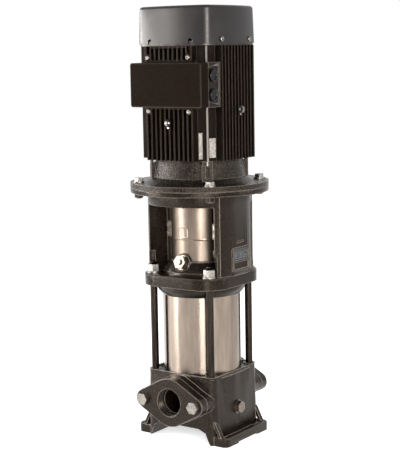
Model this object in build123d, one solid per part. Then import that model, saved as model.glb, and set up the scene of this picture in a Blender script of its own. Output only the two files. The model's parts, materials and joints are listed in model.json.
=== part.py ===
from build123d import *
import os
from math import cos, sin, radians, sqrt

# Vertical multistage in-line pump with a flange motor on top, in millimetres.
# Z is the pump's axis and points up. The origin is on the ground, in the middle of the four foundation
# bolt holes. The inlet looks along -Y and the outlet along +Y. The terminal box is above the inlet.

# Clearances
SLIP = 0.05              # radial, a part pushed on or into another
LOOSE = 0.3              # radial, a part that drops over another
RUN = 0.6                # between turning and standing parts

# Threads and hexagons, M16 for stay and port bolts, M12 for the motor flange
M16 = 8.0                # radius
M16_HEAD = 24.0          # across flats
M16_HEAD_HEIGHT = 10.0
M16_NUT_HEIGHT = 14.8
M16_WASHER = 15.0
M16_WASHER_THICK = 3.0
M12 = 6.0
M12_HEAD = 18.0
M12_HEAD_HEIGHT = 7.5
M12_NUT_HEIGHT = 10.8
M12_WASHER = 12.0
M12_WASHER_THICK = 2.5
M12_HOLE_PLAY = 0.75

# Stack of stages
STAGES = 3
STAGE_PITCH = 42.0
IMPELLER_RADIUS = 56.0
CHAMBER_PLAY = 8.0       # from the impeller's rim to the chamber's wall
CHAMBER_SHEET = 2.0
NECK = 24.0
SHROUD = 2.0
BLADE_HEIGHT = 8.0
BLADES = 6
VANES = 6
BLADE_THICK = 2.0
BLADE_SWEEP = 62.0       # degrees from a blade's foot to its tip
VANE_SWEEP = -55.0
HUB_WALL = 4.0
PUMP_SHAFT = 9.0
SHAFT_END = 16.0         # how far the shaft goes below the stack's seat
INLET_PART = 8.0
OUTLET_PLATE = 3.0
OUTLET_HEIGHT = 38.0
STRAP_THICK = 1.5
STRAP_WIDTH = 14.0
STRAP_LAP = 8.0          # on the parts below and above the chambers
BUSH = 2.5

# Sleeve and stay bolts
WATERWAY = 18.0          # between the stack and the sleeve
SLEEVE_WALL = 1.5
SPIGOT_WIDTH = 5.5
SPIGOT_HEIGHT = 10.0
SLEEVE_PAST = 2.0        # how far the sleeve goes past the upper spigot's groove side
ORING = 1.4
STAY_CLEAR = 11.435      # between the sleeve and the stay bolts
STAY_DEPTH = 40.0
STAY_PROUD = 5.0

# Base casting
BASE_MARGIN = 2.5        # from the sleeve to the rim's outside
BASE_DRAFT = 3.0         # how much wider each side is at the ground
BASE_CORNER = 17.0
BASE_TOP = 149.0
BASE_CROWN = 4.0         # how far the plain sides bulge
CROWN_HALF = 58.0
RIM_WIDTH = 6.0
RIM_DEPTH = 4.0
STACK_DEPTH = 11.0       # from the rim's top down to the stack's seat
ARCH_HEIGHT = 33.0       # the tunnel under the body, along Y
ARCH_TOP_HALF = 50.0
ARCH_KNEE_HALF = 68.0
ARCH_KNEE_HEIGHT = 26.0
ARCH_FOOT_HALF = 80.0
FOOT_REACH = 31.0        # from the body's side to the foot's outside
FOOT_HALF_Y = 84.0
FOOT_CORNER = 12.0
FOOT_THICK = 12.0
FOOT_EDGE = 3.0
LIP_HEIGHT = 20.0
LIP_WIDTH = 7.0
PAD_INNER_Y = 37.0
PAD_RELIEF = 3.0
BOLT_REACH = 12.0        # from the body's side to the foundation bolt holes
BOLT_Y = 65.0
BOLT_HOLE = 7.0
SPOT_FACE = 11.5
SPOT_DEPTH = 1.5
GUSSET_THICK = 10.0
GUSSET_INSET = 1.0

# Ports
PORT_HEIGHT = 93.0
PORT_REACH = 40.0        # from the body's side to the face of the screwed flanges
PORT_BORE = 29.8         # wall of the 2 inch pipe thread
PORT_LEAD = 1.0          # its lead-in chamfer
PASSAGE = 27.0
FLANGE_THICK = 20.0
GASKET = 1.5
GASKET_PLAY = 1.0        # from the flange's wall to the gasket's hole
FLANGE_ROUND = 53.0
FLANGE_TIP = 21.0
PORT_BOLT_X = 66.6
PORT_BOLT_LENGTH = 34.0

# Water passages in the base
WELL_RADIUS = 34.0
WELL_FLOOR = 58.0
WELL_WALL = 11.0
ANNULUS_DEPTH = 20.0     # of the ring channel below the stack's seat
OUTLET_SECTOR = 44.0     # half angle of the pocket behind the outlet, in degrees

# Pump head
SLEEVE_COVER = 6.0       # how far the head's ring reaches down over the sleeve
HEAD_RING_LIP = 2.5      # from the sleeve to the ring's lower edge
HEAD_RING_SWELL = 9.0    # how much wider the ring is under the stool
HEAD_RING_CONE = 12.0
HEAD_RING_ROUND = 14.0
HEAD_RING_HEIGHT = 22.0
HEAD_WATERWAY = 60.0
HEAD_DECK = 66.0
HEAD_DECK_EDGE = 5.0      # height of the deck's edge, and of its middle, over the stool's plate
HEAD_DECK_RISE = 26.0
HEAD_RISE = 28.0         # from the stool plate's top to the head's top
SEAL_BORE = 31.0
HEAD_ROOF = 15.0
VENT_DROP = 2.0          # of the vent boss's centre below the head's top
VENT_FACE = 70.0
VENT_BOSS = 19.0
VENT_BOSS_DEPTH = 36.0
VENT_TILT = 15.0
VENT_THREAD = 8.0
VENT_HEX = 27.0
VENT_HEX_HEIGHT = 9.0
VENT_SCREW = 3.5
VENT_SCREW_HEAD = 6.0
DRAIN_HEX = 24.0
PLUG_WASHER = 2.0        # thickness
WASHER_PROUD = 3.0       # of the plugs' hexagons

# Motor stool
PLATE_MARGIN = 18.5      # from the sleeve to the plate's side
PLATE_CORNER = 57.0
PLATE_THICK = 25.0
WALL_CORNER = 86.0
WALL = 9.0
STOOL_RISE = 186.0       # from the plate's top to the motor's seat
MOTOR_FLANGE_RADIUS = 150.0
STOOL_FLANGE = 11.0
COLLAR_PROUD = 3.0
COLLAR_CORNER = 92.0
COLLAR_CONE = 6.0
COLLAR_DEPTH = 37.0      # from the motor's seat to the window's top
WINDOW_INSET = 18.0      # from the wall's face to the window's edge
DECK_THICK = 10.0
WEB_INNER_X = 66.0
WEB_INNER_Y = 31.0
RETURN_INNER = 57.0      # inner edge of the return flange behind the guards' tabs
RETURN_THICK = 6.5
PANEL_HALF = 31.0        # raised frame on the wall
PANEL_RISE = 8.0         # of its lower edge above the plate
PANEL_HEIGHT = 51.0
PANEL_PROUD = 3.0
PANEL_RIM = 4.0
PANEL_BAR = 4.0
PANEL_SPLIT = 0.42       # share of the height below the bar between its two fields
SLOT_HEIGHT = 68.0       # of the narrow slot above the frame, over the plate's top
SLOT_LENGTH = 25.0
SLOT_WIDTH = 4.0
SLOT_DEPTH = 3.0

# Coupling guard
GUARD_RADIUS = 63.0
GUARD_SHEET = 1.2
GUARD_ANGLE = 60.0
GUARD_CORNER = 6.0
GUARD_SEAM_RISE = 75.0   # of the seam above the plate
TAB_LENGTH = 11.0
TAB_HEIGHT = 35.0
TAB_CORNER = 4.0
TAB_BEND = 1.0
TAB_DROP = 1.0           # of a tab's lower end below the seam
GUARD_SCREW = 2.0
GUARD_SCREW_HEAD = 4.0

# Coupling
COUPLING_WALL = 13.0     # round the motor's shaft
COUPLING_LOW = 65.0      # from the shafts' joint down to its lower end
COUPLING_HIGH = 33.0
COUPLING_SPLIT = 1.0
COUPLING_SCREW = 4.0
COUPLING_EAR = 10.0      # height of the relief between its two pairs of ears, over the middle
PIN = 3.0
PIN_RISE = 12.0
SHAFT_GAP = 4.0

# Motor
MOTOR_FLANGE = 11.0
BOLT_CIRCLE = 132.5
MOTOR_SPIGOT = 98.0
MOTOR_SPIGOT_HEIGHT = 4.0
NECK_RADIUS = 94.0
NECK_FOOT = 118.0
NECK_FOOT_TOP = 100.0
NECK_FOOT_RISE = 11.0
NECK_HEIGHT = 50.0
NECK_WALL = 10.0
POST_RADIUS = 106.0
POST_WIDTH = 22.0
POST_GAP = 7.0
BRACKET_SCREW = 3.0
HOUSING_LENGTH = 239.0
HOUSING_RADIUS = 92.0
STATOR_RADIUS = 84.0
STATOR_BORE = 55.6
CORE_RISE = 40.0         # of the core above the housing's lower end
CORE_LENGTH = 150.0
WINDING_INNER = 60.0
WINDING_OUTER = 80.0
WINDING_HEIGHT = 22.0
WINDING_ROUND = 5.0
AIR_GAP = 0.6
FIN_TIP = 105.0
FIN_HALF = 60.0
FINS = 11
FIN_THICK = 3.4
LOBE_RADIUS = 106.0
LOBE_ANGLE = 16.5
RIDGE_TIP = 111.0
RIDGE_WIDTH = 4.0
CHANNEL_X = 52.0
CHANNEL_WIDTH = 9.0
SHIELD_THICK = 8.0
MOTOR_SHAFT = 19.0
MOTOR_SHAFT_LENGTH = 80.0
CORE_STEP = 4.0          # from the bearing's seat up to the core's
FAN_STEP = 19.0          # shaft between the core and the fan-end bearing
DRIVE_SHOULDER = 1.0     # from the shaft's end up to the bearing's seat
DRIVE_RACE = 20.0        # from its bore to its outside
DRIVE_WIDTH = 18.0
FAN_BORE = 15.0
FAN_OUTER = 31.0
FAN_WIDTH = 16.0
BEARING_RACE = 0.28      # share of the radial space that each ring takes
BEARING_BALLS = 7
BALL_SINK = 1.2          # depth of the ball's track in each ring
BALL_PLAY = 0.15

# Fan and cover
COVER_GAP = 4.0          # between the housing and the cover's skirt
COVER_HALF = 103.5
COVER_CROWN = 300.0      # radius of each bowed side
COVER_CORNER = 20.0
COVER_DRAFT = 2.5
COVER_HEIGHT = 78.5
COVER_SHEET = 1.6
COVER_EDGE = 7.0
COVER_SCREW = 3.0
COVER_SCREW_HEAD = 5.5
COVER_SCREW_RISE = 8.5
NOTCH_RADIUS = 4.8
NOTCH_RISE = 6.0
SLOT_ROWS = (30.0, 46.0, 62.0)
SLOTS = 8
SLOT_HALF = 3.5
SLOT_SPREAD = 0.3        # tangent of half the angle that a slot takes
FAN_SHAFT = 12.0
FAN_HUB = 20.0
FAN_RADIUS = 76.0
FAN_BLADES = 7
FAN_HEIGHT = 28.0

# Terminal box
BOX_LEFT = -79.0
BOX_RIGHT = 103.0
BOX_DROP = 126.0         # of its underside below the housing's top
BOX_HEIGHT = 92.0
BOX_FRONT = 134.0
BOX_BACK = 61.0
BOX_SEAT = 106.0         # face of the housing's pad
BOX_REAR = 98.0          # back of the box in the pad's recess
BOX_ARM = 90.0
BOX_WALL = 4.0
PAD_MARGIN = 4.0         # how far the housing's pad shows above and below the box
PAD_LEDGE = 7.0
TOP_RIM = 4.0
LID_DEPTH = 27.0
LID_EDGE = 2.5
LID_CORNER = 5.0
GLAND_INNER = 68.0       # the sunk panel of the cable entries, along Y
GLAND_OUTER = 107.0
GLAND_SUNK = 3.0
GLAND_Y = 87.5
GLAND_LOW = 25.0         # height of the lower cable entry in the box
GLAND_PITCH = 40.0
GLAND_RADIUS = 10.0
GLAND_HEAD = 13.5
GLAND_PROUD = 5.0
GLAND_DEPTH = 7.0
LID_SCREW = 2.5
LID_SCREW_HEAD = 4.5
LID_SCREW_SINK = 4.0     # depth of the head's seat in the body
SEAT_SCREW = 3.0
SEAT_SCREW_HEAD = 4.8
SEAT_SCREW_LOW = 9.0     # below the box, and above it
SEAT_SCREW_HIGH = 10.0
SEAT_BOSS = 7.0
STUD = 2.5
LUG_LOW = 80.0           # of the lugs above the housing's lower end, on the faces along Y and along X
LUG_HIGH = 105.0
LUG_THICK = 6.0
LUG_RADIUS = 8.0
LUG_HOLE = 3.5

# Radii and widths that follow
CHAMBER_RADIUS = IMPELLER_RADIUS + CHAMBER_PLAY + CHAMBER_SHEET
SLEEVE_BORE = CHAMBER_RADIUS + WATERWAY
SLEEVE_RADIUS = SLEEVE_BORE + SLEEVE_WALL
SPIGOT = SLEEVE_BORE - LOOSE
BASE_HALF = SLEEVE_RADIUS + BASE_MARGIN
FOOT_HALF_X = BASE_HALF + FOOT_REACH
BOLT_X = BASE_HALF + BOLT_REACH
PORT_FACE = BASE_HALF + PORT_REACH
STAY = (SLEEVE_RADIUS + STAY_CLEAR + M16) / sqrt(2)
HUB = PUMP_SHAFT + HUB_WALL
PLATE_HALF = SLEEVE_RADIUS + PLATE_MARGIN
WINDOW_HALF = PLATE_HALF - WINDOW_INSET
DRIVE_BORE = MOTOR_SHAFT + DRIVE_SHOULDER
DRIVE_OUTER = DRIVE_BORE + DRIVE_RACE
CORE_SEAT = DRIVE_BORE + CORE_STEP
COUPLING_RADIUS = MOTOR_SHAFT + COUPLING_WALL

# Heights that follow, from the ground up
STACK_SEAT = BASE_TOP - STACK_DEPTH
RIM_FLOOR = BASE_TOP - RIM_DEPTH
STAGE_ZERO = STACK_SEAT + INLET_PART
OUTLET_BOTTOM = STAGE_ZERO + STAGES * STAGE_PITCH
HEAD_UNDER = OUTLET_BOTTOM + OUTLET_HEIGHT
SLEEVE_TOP = HEAD_UNDER + SPIGOT_HEIGHT + SLEEVE_PAST
RING_BOTTOM = SLEEVE_TOP - SLEEVE_COVER
PLATE_BOTTOM = RING_BOTTOM + HEAD_RING_HEIGHT
PLATE_TOP = PLATE_BOTTOM + PLATE_THICK
DECK_EDGE = PLATE_TOP + HEAD_DECK_EDGE
HEAD_TOP = PLATE_TOP + HEAD_RISE
VENT_HEIGHT = HEAD_TOP - VENT_DROP
STOOL_TOP = PLATE_TOP + STOOL_RISE
WINDOW_TOP = STOOL_TOP - COLLAR_DEPTH
PANEL_BOTTOM = PLATE_TOP + PANEL_RISE
PANEL_TOP = PANEL_BOTTOM + PANEL_HEIGHT
GUARD_SEAM = PLATE_TOP + GUARD_SEAM_RISE
TAB_LOW = GUARD_SEAM - TAB_DROP
TAB_HIGH = TAB_LOW + TAB_HEIGHT
SHAFT_JOINT = STOOL_TOP - MOTOR_SHAFT_LENGTH
COUPLING_BOTTOM = SHAFT_JOINT - COUPLING_LOW
COUPLING_TOP = SHAFT_JOINT + COUPLING_HIGH
FLANGE_TOP = STOOL_TOP + MOTOR_FLANGE
HOUSING_BOTTOM = FLANGE_TOP + NECK_HEIGHT
HOUSING_TOP = HOUSING_BOTTOM + HOUSING_LENGTH
CORE_BOTTOM = HOUSING_BOTTOM + CORE_RISE
CORE_TOP = CORE_BOTTOM + CORE_LENGTH
COVER_BOTTOM = HOUSING_TOP + COVER_GAP
COVER_TOP = COVER_BOTTOM + COVER_HEIGHT
BOX_BOTTOM = HOUSING_TOP - BOX_DROP
BOX_TOP = BOX_BOTTOM + BOX_HEIGHT


def tube(outer, inner, low, high):
    """An upright ring on the axis; an inner radius of nought makes a solid disc."""
    body = Pos(0, 0, (low + high) / 2) * Cylinder(outer, high - low)
    if inner:
        body -= Pos(0, 0, (low + high) / 2) * Cylinder(inner, high - low + 1)
    return body


def block(x, y, z):
    """A box given by its low and high place along each axis."""
    middle = Pos((x[0] + x[1]) / 2, (y[0] + y[1]) / 2, (z[0] + z[1]) / 2)
    return middle * Box(x[1] - x[0], y[1] - y[0], z[1] - z[0])


def rounded_post(half, corner, low, high, draft=0.0):
    """An upright rounded square, wider by the draft at its low end."""
    bottom = Pos(0, 0, low) * RectangleRounded(2 * (half + draft), 2 * (half + draft), corner + draft)
    top = Pos(0, 0, high) * RectangleRounded(2 * half, 2 * half, corner)
    return loft([bottom.face(), top.face()])


def bowed_square(half, bow, corner):
    """A square outline with bowed sides and rounded corners."""
    sides = [Rot(0, 0, 90 * k) * (Pos(half - bow, 0) * Circle(bow)) for k in range(4)]
    outline = sides[0] & sides[1] & sides[2] & sides[3]
    return fillet(outline.vertices(), corner)


def turned(points):
    """A profile of radius and height points, turned about the axis."""
    return revolve(Plane.XZ * make_face(Polyline(*points, close=True)), Axis.Z)


def along_y(points, low, high):
    """A profile of X and Z points, carried along Y."""
    profile = make_face(Polyline(*[(x, 0, z) for x, z in points], close=True))
    return Pos(0, low, 0) * extrude(profile, high - low, dir=(0, 1, 0))


def rod_y(radius, x, z, low, high):
    """A round bar along Y."""
    return Pos(x, (low + high) / 2, z) * Rot(90, 0, 0) * Cylinder(radius, high - low)


def rod_x(radius, y, z, low, high):
    """A round bar along X."""
    return Pos((low + high) / 2, y, z) * Rot(0, 90, 0) * Cylinder(radius, high - low)


def upright(radius, x, y, low, high):
    """A round bar along Z."""
    return Pos(x, y, (low + high) / 2) * Cylinder(radius, high - low)


def hexagon(flats, height):
    """A hexagonal head standing on the XY plane, with its top corners turned down."""
    radius = flats / sqrt(3)
    head = extrude(RegularPolygon(radius, 6), height)
    cone = Pos(0, 0, height / 2 + radius * 0.21) * Cone(radius * 1.42, radius * 0.78, height + radius * 0.42)
    return head & cone


def save(name, *solids):
    """Write one sub-part; a group of like pieces stays a set of separate solids."""
    pieces = [solid for shape in solids for solid in shape.solids()]
    shape = pieces[0] if len(pieces) == 1 else Compound(children=pieces)
    export_step(shape, f"parts/{name}.step")


def corners(x, y):
    """The four places at plus and minus X and Y."""
    return [(x, y), (-x, y), (-x, -y), (x, -y)]


def both_ways(shape):
    """A shape and its half-turn about the axis."""
    return [shape, Rot(0, 0, 180) * shape]


def flange_outline(height):
    """The oval of the port flanges in the XY plane, thickened along Z."""
    ends = [Pos(x, 0) * Circle(FLANGE_TIP) for x in (-PORT_BOLT_X, PORT_BOLT_X)]
    edges = [edge for shape in ends + [Circle(FLANGE_ROUND)] for edge in shape.edges()]
    return extrude(make_hull(edges), height)


def port_flange_block(near, far):
    """The oval outline standing across Y between two distances from the axis, on the inlet side."""
    return Pos(0, -near, PORT_HEIGHT) * Rot(90, 0, 0) * flange_outline(far - near)


def base_feet():
    """Two foot rails along Y with end pads, a raised outer lip and a trough between lip and body."""
    outline = RectangleRounded(2 * FOOT_HALF_X, 2 * FOOT_HALF_Y, FOOT_CORNER)
    feet = extrude(outline, LIP_HEIGHT)
    feet = feet.fillet(FOOT_EDGE, feet.edges().group_by(Axis.Z)[-1])
    trough = RectangleRounded(2 * (FOOT_HALF_X - LIP_WIDTH), 2 * FOOT_HALF_Y - LIP_WIDTH, FOOT_CORNER / 2)
    feet -= Pos(0, 0, FOOT_THICK) * extrude(trough, LIP_HEIGHT)
    feet -= block((-FOOT_HALF_X - 1, FOOT_HALF_X + 1), (-PAD_INNER_Y, PAD_INNER_Y), (-1, PAD_RELIEF))
    for x, y in corners(BOLT_X, BOLT_Y):
        feet -= upright(BOLT_HOLE, x, y, -1, LIP_HEIGHT)
        feet -= upright(SPOT_FACE, x, y, FOOT_THICK - SPOT_DEPTH, LIP_HEIGHT + 1)
    return feet


def base_body():
    """The square body with its two crowned plain sides."""
    body = rounded_post(BASE_HALF, BASE_CORNER, 0, BASE_TOP, BASE_DRAFT)
    bulge = (CROWN_HALF ** 2 + BASE_CROWN ** 2) / (2 * BASE_CROWN)
    crown = upright(bulge, BASE_HALF + BASE_CROWN - bulge, 0, FOOT_THICK, BASE_TOP - RIM_WIDTH)
    crown &= block((0, 200), (-CROWN_HALF, CROWN_HALF), (0, BASE_TOP))
    for side in both_ways(crown):
        body += side
    return body


def arch_profile():
    """The tunnel between the feet, as a profile of X and Z."""
    right = [(ARCH_FOOT_HALF, -1), (ARCH_KNEE_HALF, ARCH_KNEE_HEIGHT), (ARCH_TOP_HALF, ARCH_HEIGHT)]
    return right + [(-x, z) for x, z in reversed(right)]


def base_hollows():
    """The water's ways: inlet bore and well, outlet bore and pocket, and the ring channel."""
    inner = WELL_RADIUS + WELL_WALL
    outer = SPIGOT - SPIGOT_WIDTH
    above = BASE_TOP + SPIGOT_HEIGHT
    well = tube(WELL_RADIUS, 0, WELL_FLOOR, above)
    inlet = rod_y(PASSAGE, 0, PORT_HEIGHT, -PORT_FACE, 0)
    channel = tube(outer, inner, annulus_floor(), above)
    spread = PORT_FACE * sin(radians(OUTLET_SECTOR))
    sector = Polygon((0, 0), (spread, PORT_FACE), (-spread, PORT_FACE), align=None)
    pocket = tube(outer, inner, PORT_HEIGHT - PASSAGE, annulus_floor() + 1) & extrude(sector, BASE_TOP)
    outlet = rod_y(PASSAGE, 0, PORT_HEIGHT, inner + 2, PORT_FACE)
    return [well, inlet, channel, pocket, outlet]


def annulus_floor():
    """Height of the ring channel's floor."""
    return STACK_SEAT - ANNULUS_DEPTH


def gusset_profile():
    """Slanting rib from the body's side down onto the foot, as a profile of X and Z."""
    root, tip = BASE_HALF - 26, BASE_HALF + 17
    return [(root + 4, 62), (BASE_HALF + 1, 50), (tip, LIP_HEIGHT - 2), (tip - 7, LIP_HEIGHT - 2),
            (BASE_HALF - 4, 44), (root, 48)]


def make_base():
    """Cast base: body, feet, gussets, two port faces, spigot for the sleeve and the water's ways."""
    body = base_body()
    for near in (True, False):
        face = port_flange_block(BASE_HALF - 12, PORT_FACE - FLANGE_THICK - GASKET)
        body += face if near else Rot(0, 0, 180) * face
    body += base_feet()
    outer = FOOT_HALF_Y - GUSSET_INSET
    for side in (1, -1):
        for y in ((outer - GUSSET_THICK, outer), (-outer, GUSSET_THICK - outer)):
            body += along_y([(side * x, z) for x, z in gusset_profile()], *y)
    body -= along_y(arch_profile(), -PORT_FACE, PORT_FACE)
    rim = rounded_post(BASE_HALF - RIM_WIDTH, BASE_CORNER - RIM_WIDTH, RIM_FLOOR, BASE_TOP + 1)
    body -= rim
    for x, y in corners(STAY, STAY):
        body += upright(M16 + 5, x, y, RIM_FLOOR - 1, BASE_TOP)
    body -= tube(SLEEVE_RADIUS + LOOSE, SPIGOT, RIM_FLOOR, BASE_TOP + 1)
    body += tube(SPIGOT, 0, RIM_FLOOR - 2, RIM_FLOOR + SPIGOT_HEIGHT)
    for hollow in base_hollows():
        body -= hollow
    body -= tube(WELL_RADIUS + WELL_WALL + 1, 0, STACK_SEAT, BASE_TOP + SPIGOT_HEIGHT)
    groove = RIM_FLOOR + SPIGOT_HEIGHT / 2
    body -= tube(SPIGOT + 1, SLEEVE_BORE - 2 * ORING, groove - ORING, groove + ORING)
    for x, y in corners(STAY, STAY):
        body -= upright(M16 + SLIP, x, y, BASE_TOP - STAY_DEPTH, BASE_TOP + 1)
    face = PORT_FACE - FLANGE_THICK - GASKET
    depth = PORT_BOLT_LENGTH - FLANGE_THICK - GASKET + 5
    for x in (-PORT_BOLT_X, PORT_BOLT_X):
        for side in (1, -1):
            body -= rod_y(M16 + SLIP, x, PORT_HEIGHT, *sorted((side * (face + 1), side * (face - depth))))
    body -= rod_x(VENT_THREAD + SLIP, 0, drain_height(), WELL_RADIUS - 6, BASE_HALF + 10)
    return body


def drain_height():
    """The drain plug enters the well above its floor."""
    return WELL_FLOOR + VENT_THREAD + 2


def make_port_flange():
    """Loose oval flange with a pipe thread, screwed to the base's inlet face."""
    near = PORT_FACE - FLANGE_THICK
    flange = port_flange_block(near, PORT_FACE)
    flange = flange.chamfer(1.2, None, flange.edges().group_by(Axis.Y)[0])
    flange -= rod_y(PORT_BORE, 0, PORT_HEIGHT, -PORT_FACE - 1, -near + 1)
    lead = Cone(PORT_BORE + 2 * PORT_LEAD, PORT_BORE, 2 * PORT_LEAD)
    flange -= Pos(0, -PORT_FACE, PORT_HEIGHT) * Rot(-90, 0, 0) * lead
    for x in (-PORT_BOLT_X, PORT_BOLT_X):
        flange -= rod_y(M16 + LOOSE, x, PORT_HEIGHT, -PORT_FACE - 1, -near + 1)
    return flange


def make_port_gasket():
    """Flat oval gasket between base and inlet flange."""
    near = PORT_FACE - FLANGE_THICK
    gasket = port_flange_block(near - GASKET, near)
    gasket -= rod_y(PORT_BORE + GASKET_PLAY, 0, PORT_HEIGHT, -near - 1, -near + GASKET + 1)
    for x in (-PORT_BOLT_X, PORT_BOLT_X):
        gasket -= rod_y(M16 + LOOSE, x, PORT_HEIGHT, -near - 1, -near + GASKET + 1)
    return gasket


def make_port_bolts():
    """Hexagon bolts of the inlet flange; the outlet's are their half-turn."""
    bolts = []
    for x in (-PORT_BOLT_X, PORT_BOLT_X):
        place = Pos(x, -PORT_FACE, PORT_HEIGHT) * Rot(90, 0, 0)
        shank = Pos(0, 0, -PORT_BOLT_LENGTH / 2) * Cylinder(M16, PORT_BOLT_LENGTH)
        bolts.append(place * (hexagon(M16_HEAD, M16_HEAD_HEIGHT) + shank))
    return bolts


def make_drain_plug():
    """Hexagon plug in the base's side, and its sealing washer."""
    face = BASE_HALF + BASE_CROWN + 1.0
    seat = Pos(face, 0, drain_height()) * Rot(0, 90, 0)
    hole = Cylinder(VENT_THREAD + LOOSE, PLUG_WASHER + 1)
    washer = seat * (Cylinder(DRAIN_HEX / 2 + WASHER_PROUD, PLUG_WASHER) - hole)
    body = seat * Pos(0, 0, PLUG_WASHER / 2) * hexagon(DRAIN_HEX, VENT_HEX_HEIGHT)
    body += rod_x(VENT_THREAD, 0, drain_height(), face - 30, face + 1)
    return body, washer


def make_sleeve():
    """Stainless outer sleeve between base and pump head."""
    return tube(SLEEVE_RADIUS, SLEEVE_BORE, RIM_FLOOR, SLEEVE_TOP)


def make_sleeve_rings():
    """One O-ring in the groove of each spigot."""
    low = RIM_FLOOR + SPIGOT_HEIGHT / 2
    high = SLEEVE_TOP - SPIGOT_HEIGHT / 2
    return [Pos(0, 0, z) * Torus(SLEEVE_BORE - ORING - SLIP, ORING - SLIP) for z in (low, high)]


def make_stay_bolts():
    """Four stay bolts from the base up through the stool's plate, with washers and nuts."""
    top = PLATE_TOP + M16_WASHER_THICK + M16_NUT_HEIGHT + STAY_PROUD
    bolts, washers, nuts = [], [], []
    for x, y in corners(STAY, STAY):
        bolt = upright(M16, x, y, BASE_TOP - STAY_DEPTH + 4, top)
        bolts.append(bolt.chamfer(1.5, None, bolt.edges().group_by(Axis.Z)[-1]))
        washers.append(upright(M16_WASHER, x, y, PLATE_TOP, PLATE_TOP + M16_WASHER_THICK)
                       - upright(M16 + LOOSE, x, y, PLATE_TOP - 1, top))
        nut = Pos(x, y, PLATE_TOP + M16_WASHER_THICK) * hexagon(M16_HEAD, M16_NUT_HEIGHT)
        nuts.append(nut - upright(M16 + SLIP, x, y, PLATE_TOP, top + 1))
    return bolts, washers, nuts


def vent_place(out):
    """A place on the vent's tilted axis, so far out from the boss face, with Z along the axis."""
    return Pos(0, -VENT_FACE, VENT_HEIGHT) * Rot(90 - VENT_TILT, 0, 0) * Pos(0, 0, out)


def make_head():
    """Cast pump head: ring over the sleeve, deck with the vent boss, and the seal's hub."""
    small = SLEEVE_RADIUS + HEAD_RING_LIP
    large = small + HEAD_RING_SWELL
    roof = HEAD_TOP - HEAD_ROOF
    profile = [(HEAD_WATERWAY, HEAD_UNDER), (SPIGOT, HEAD_UNDER), (SPIGOT, SLEEVE_TOP),
               (SLEEVE_RADIUS + LOOSE, SLEEVE_TOP), (SLEEVE_RADIUS + LOOSE, RING_BOTTOM),
               (small, RING_BOTTOM), (large, RING_BOTTOM + HEAD_RING_CONE), (large, PLATE_BOTTOM),
               (SPIGOT, PLATE_BOTTOM), (SPIGOT, DECK_EDGE), (HEAD_DECK, PLATE_TOP + HEAD_DECK_RISE),
               (HEAD_DECK, HEAD_TOP), (SEAL_BORE, HEAD_TOP), (SEAL_BORE, roof),
               (HEAD_WATERWAY - 8, roof), (HEAD_WATERWAY, roof - 12)]
    head = turned(profile)
    swell = RING_BOTTOM + HEAD_RING_CONE
    head = head.fillet(HEAD_RING_ROUND, head.edges().filter_by_position(Axis.Z, swell, swell))
    boss = vent_place(-VENT_BOSS_DEPTH / 2) * Cylinder(VENT_BOSS, VENT_BOSS_DEPTH)
    head += boss - tube(HEAD_WATERWAY, 0, HEAD_UNDER, HEAD_TOP + 30)
    head -= tube(GUARD_RADIUS - GUARD_SHEET - 1, SEAL_BORE, HEAD_TOP, HEAD_TOP + 30)
    head -= vent_place(20) * Cylinder(VENT_BOSS + 1, 40)
    head -= vent_place(-30) * Pos(0, 0, 16) * Cylinder(VENT_THREAD + SLIP, 40)
    for x, y in corners(STAY, STAY):
        head -= upright(M16 + 2, x, y, RING_BOTTOM - 1, PLATE_BOTTOM + 1)
    groove = SLEEVE_TOP - SPIGOT_HEIGHT / 2
    head -= tube(SPIGOT + 1, SLEEVE_BORE - 2 * ORING, groove - ORING, groove + ORING)
    return head


def make_vent_plug():
    """Hexagon filling plug in the boss, with the bore for the vent screw."""
    plug = hexagon(VENT_HEX, VENT_HEX_HEIGHT) + Pos(0, 0, -9) * Cylinder(VENT_THREAD, 18)
    plug -= Pos(0, 0, VENT_HEX_HEIGHT / 2) * Cylinder(VENT_SCREW + SLIP, 60)
    return vent_place(PLUG_WASHER) * plug


def make_vent_washer():
    """Sealing washer under the filling plug."""
    ring = Cylinder(VENT_HEX / 2 + 2.5, PLUG_WASHER) - Cylinder(VENT_THREAD + LOOSE, PLUG_WASHER + 1)
    return vent_place(PLUG_WASHER / 2) * ring


def make_vent_screw():
    """Small slotted screw in the plug's middle, turned to bleed air."""
    length = VENT_HEX_HEIGHT + 18
    screw = Pos(0, 0, VENT_HEX_HEIGHT + RUN + 1 - length / 2) * Cylinder(VENT_SCREW, length)
    head = Pos(0, 0, VENT_HEX_HEIGHT + 2.0 + RUN) * Cylinder(VENT_SCREW_HEAD, 4.0)
    slot = Pos(0, 0, VENT_HEX_HEIGHT + 4.0 + RUN) * Box(3 * VENT_SCREW_HEAD, 1.4, 2.4)
    return vent_place(PLUG_WASHER) * (screw + head - slot)


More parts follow.
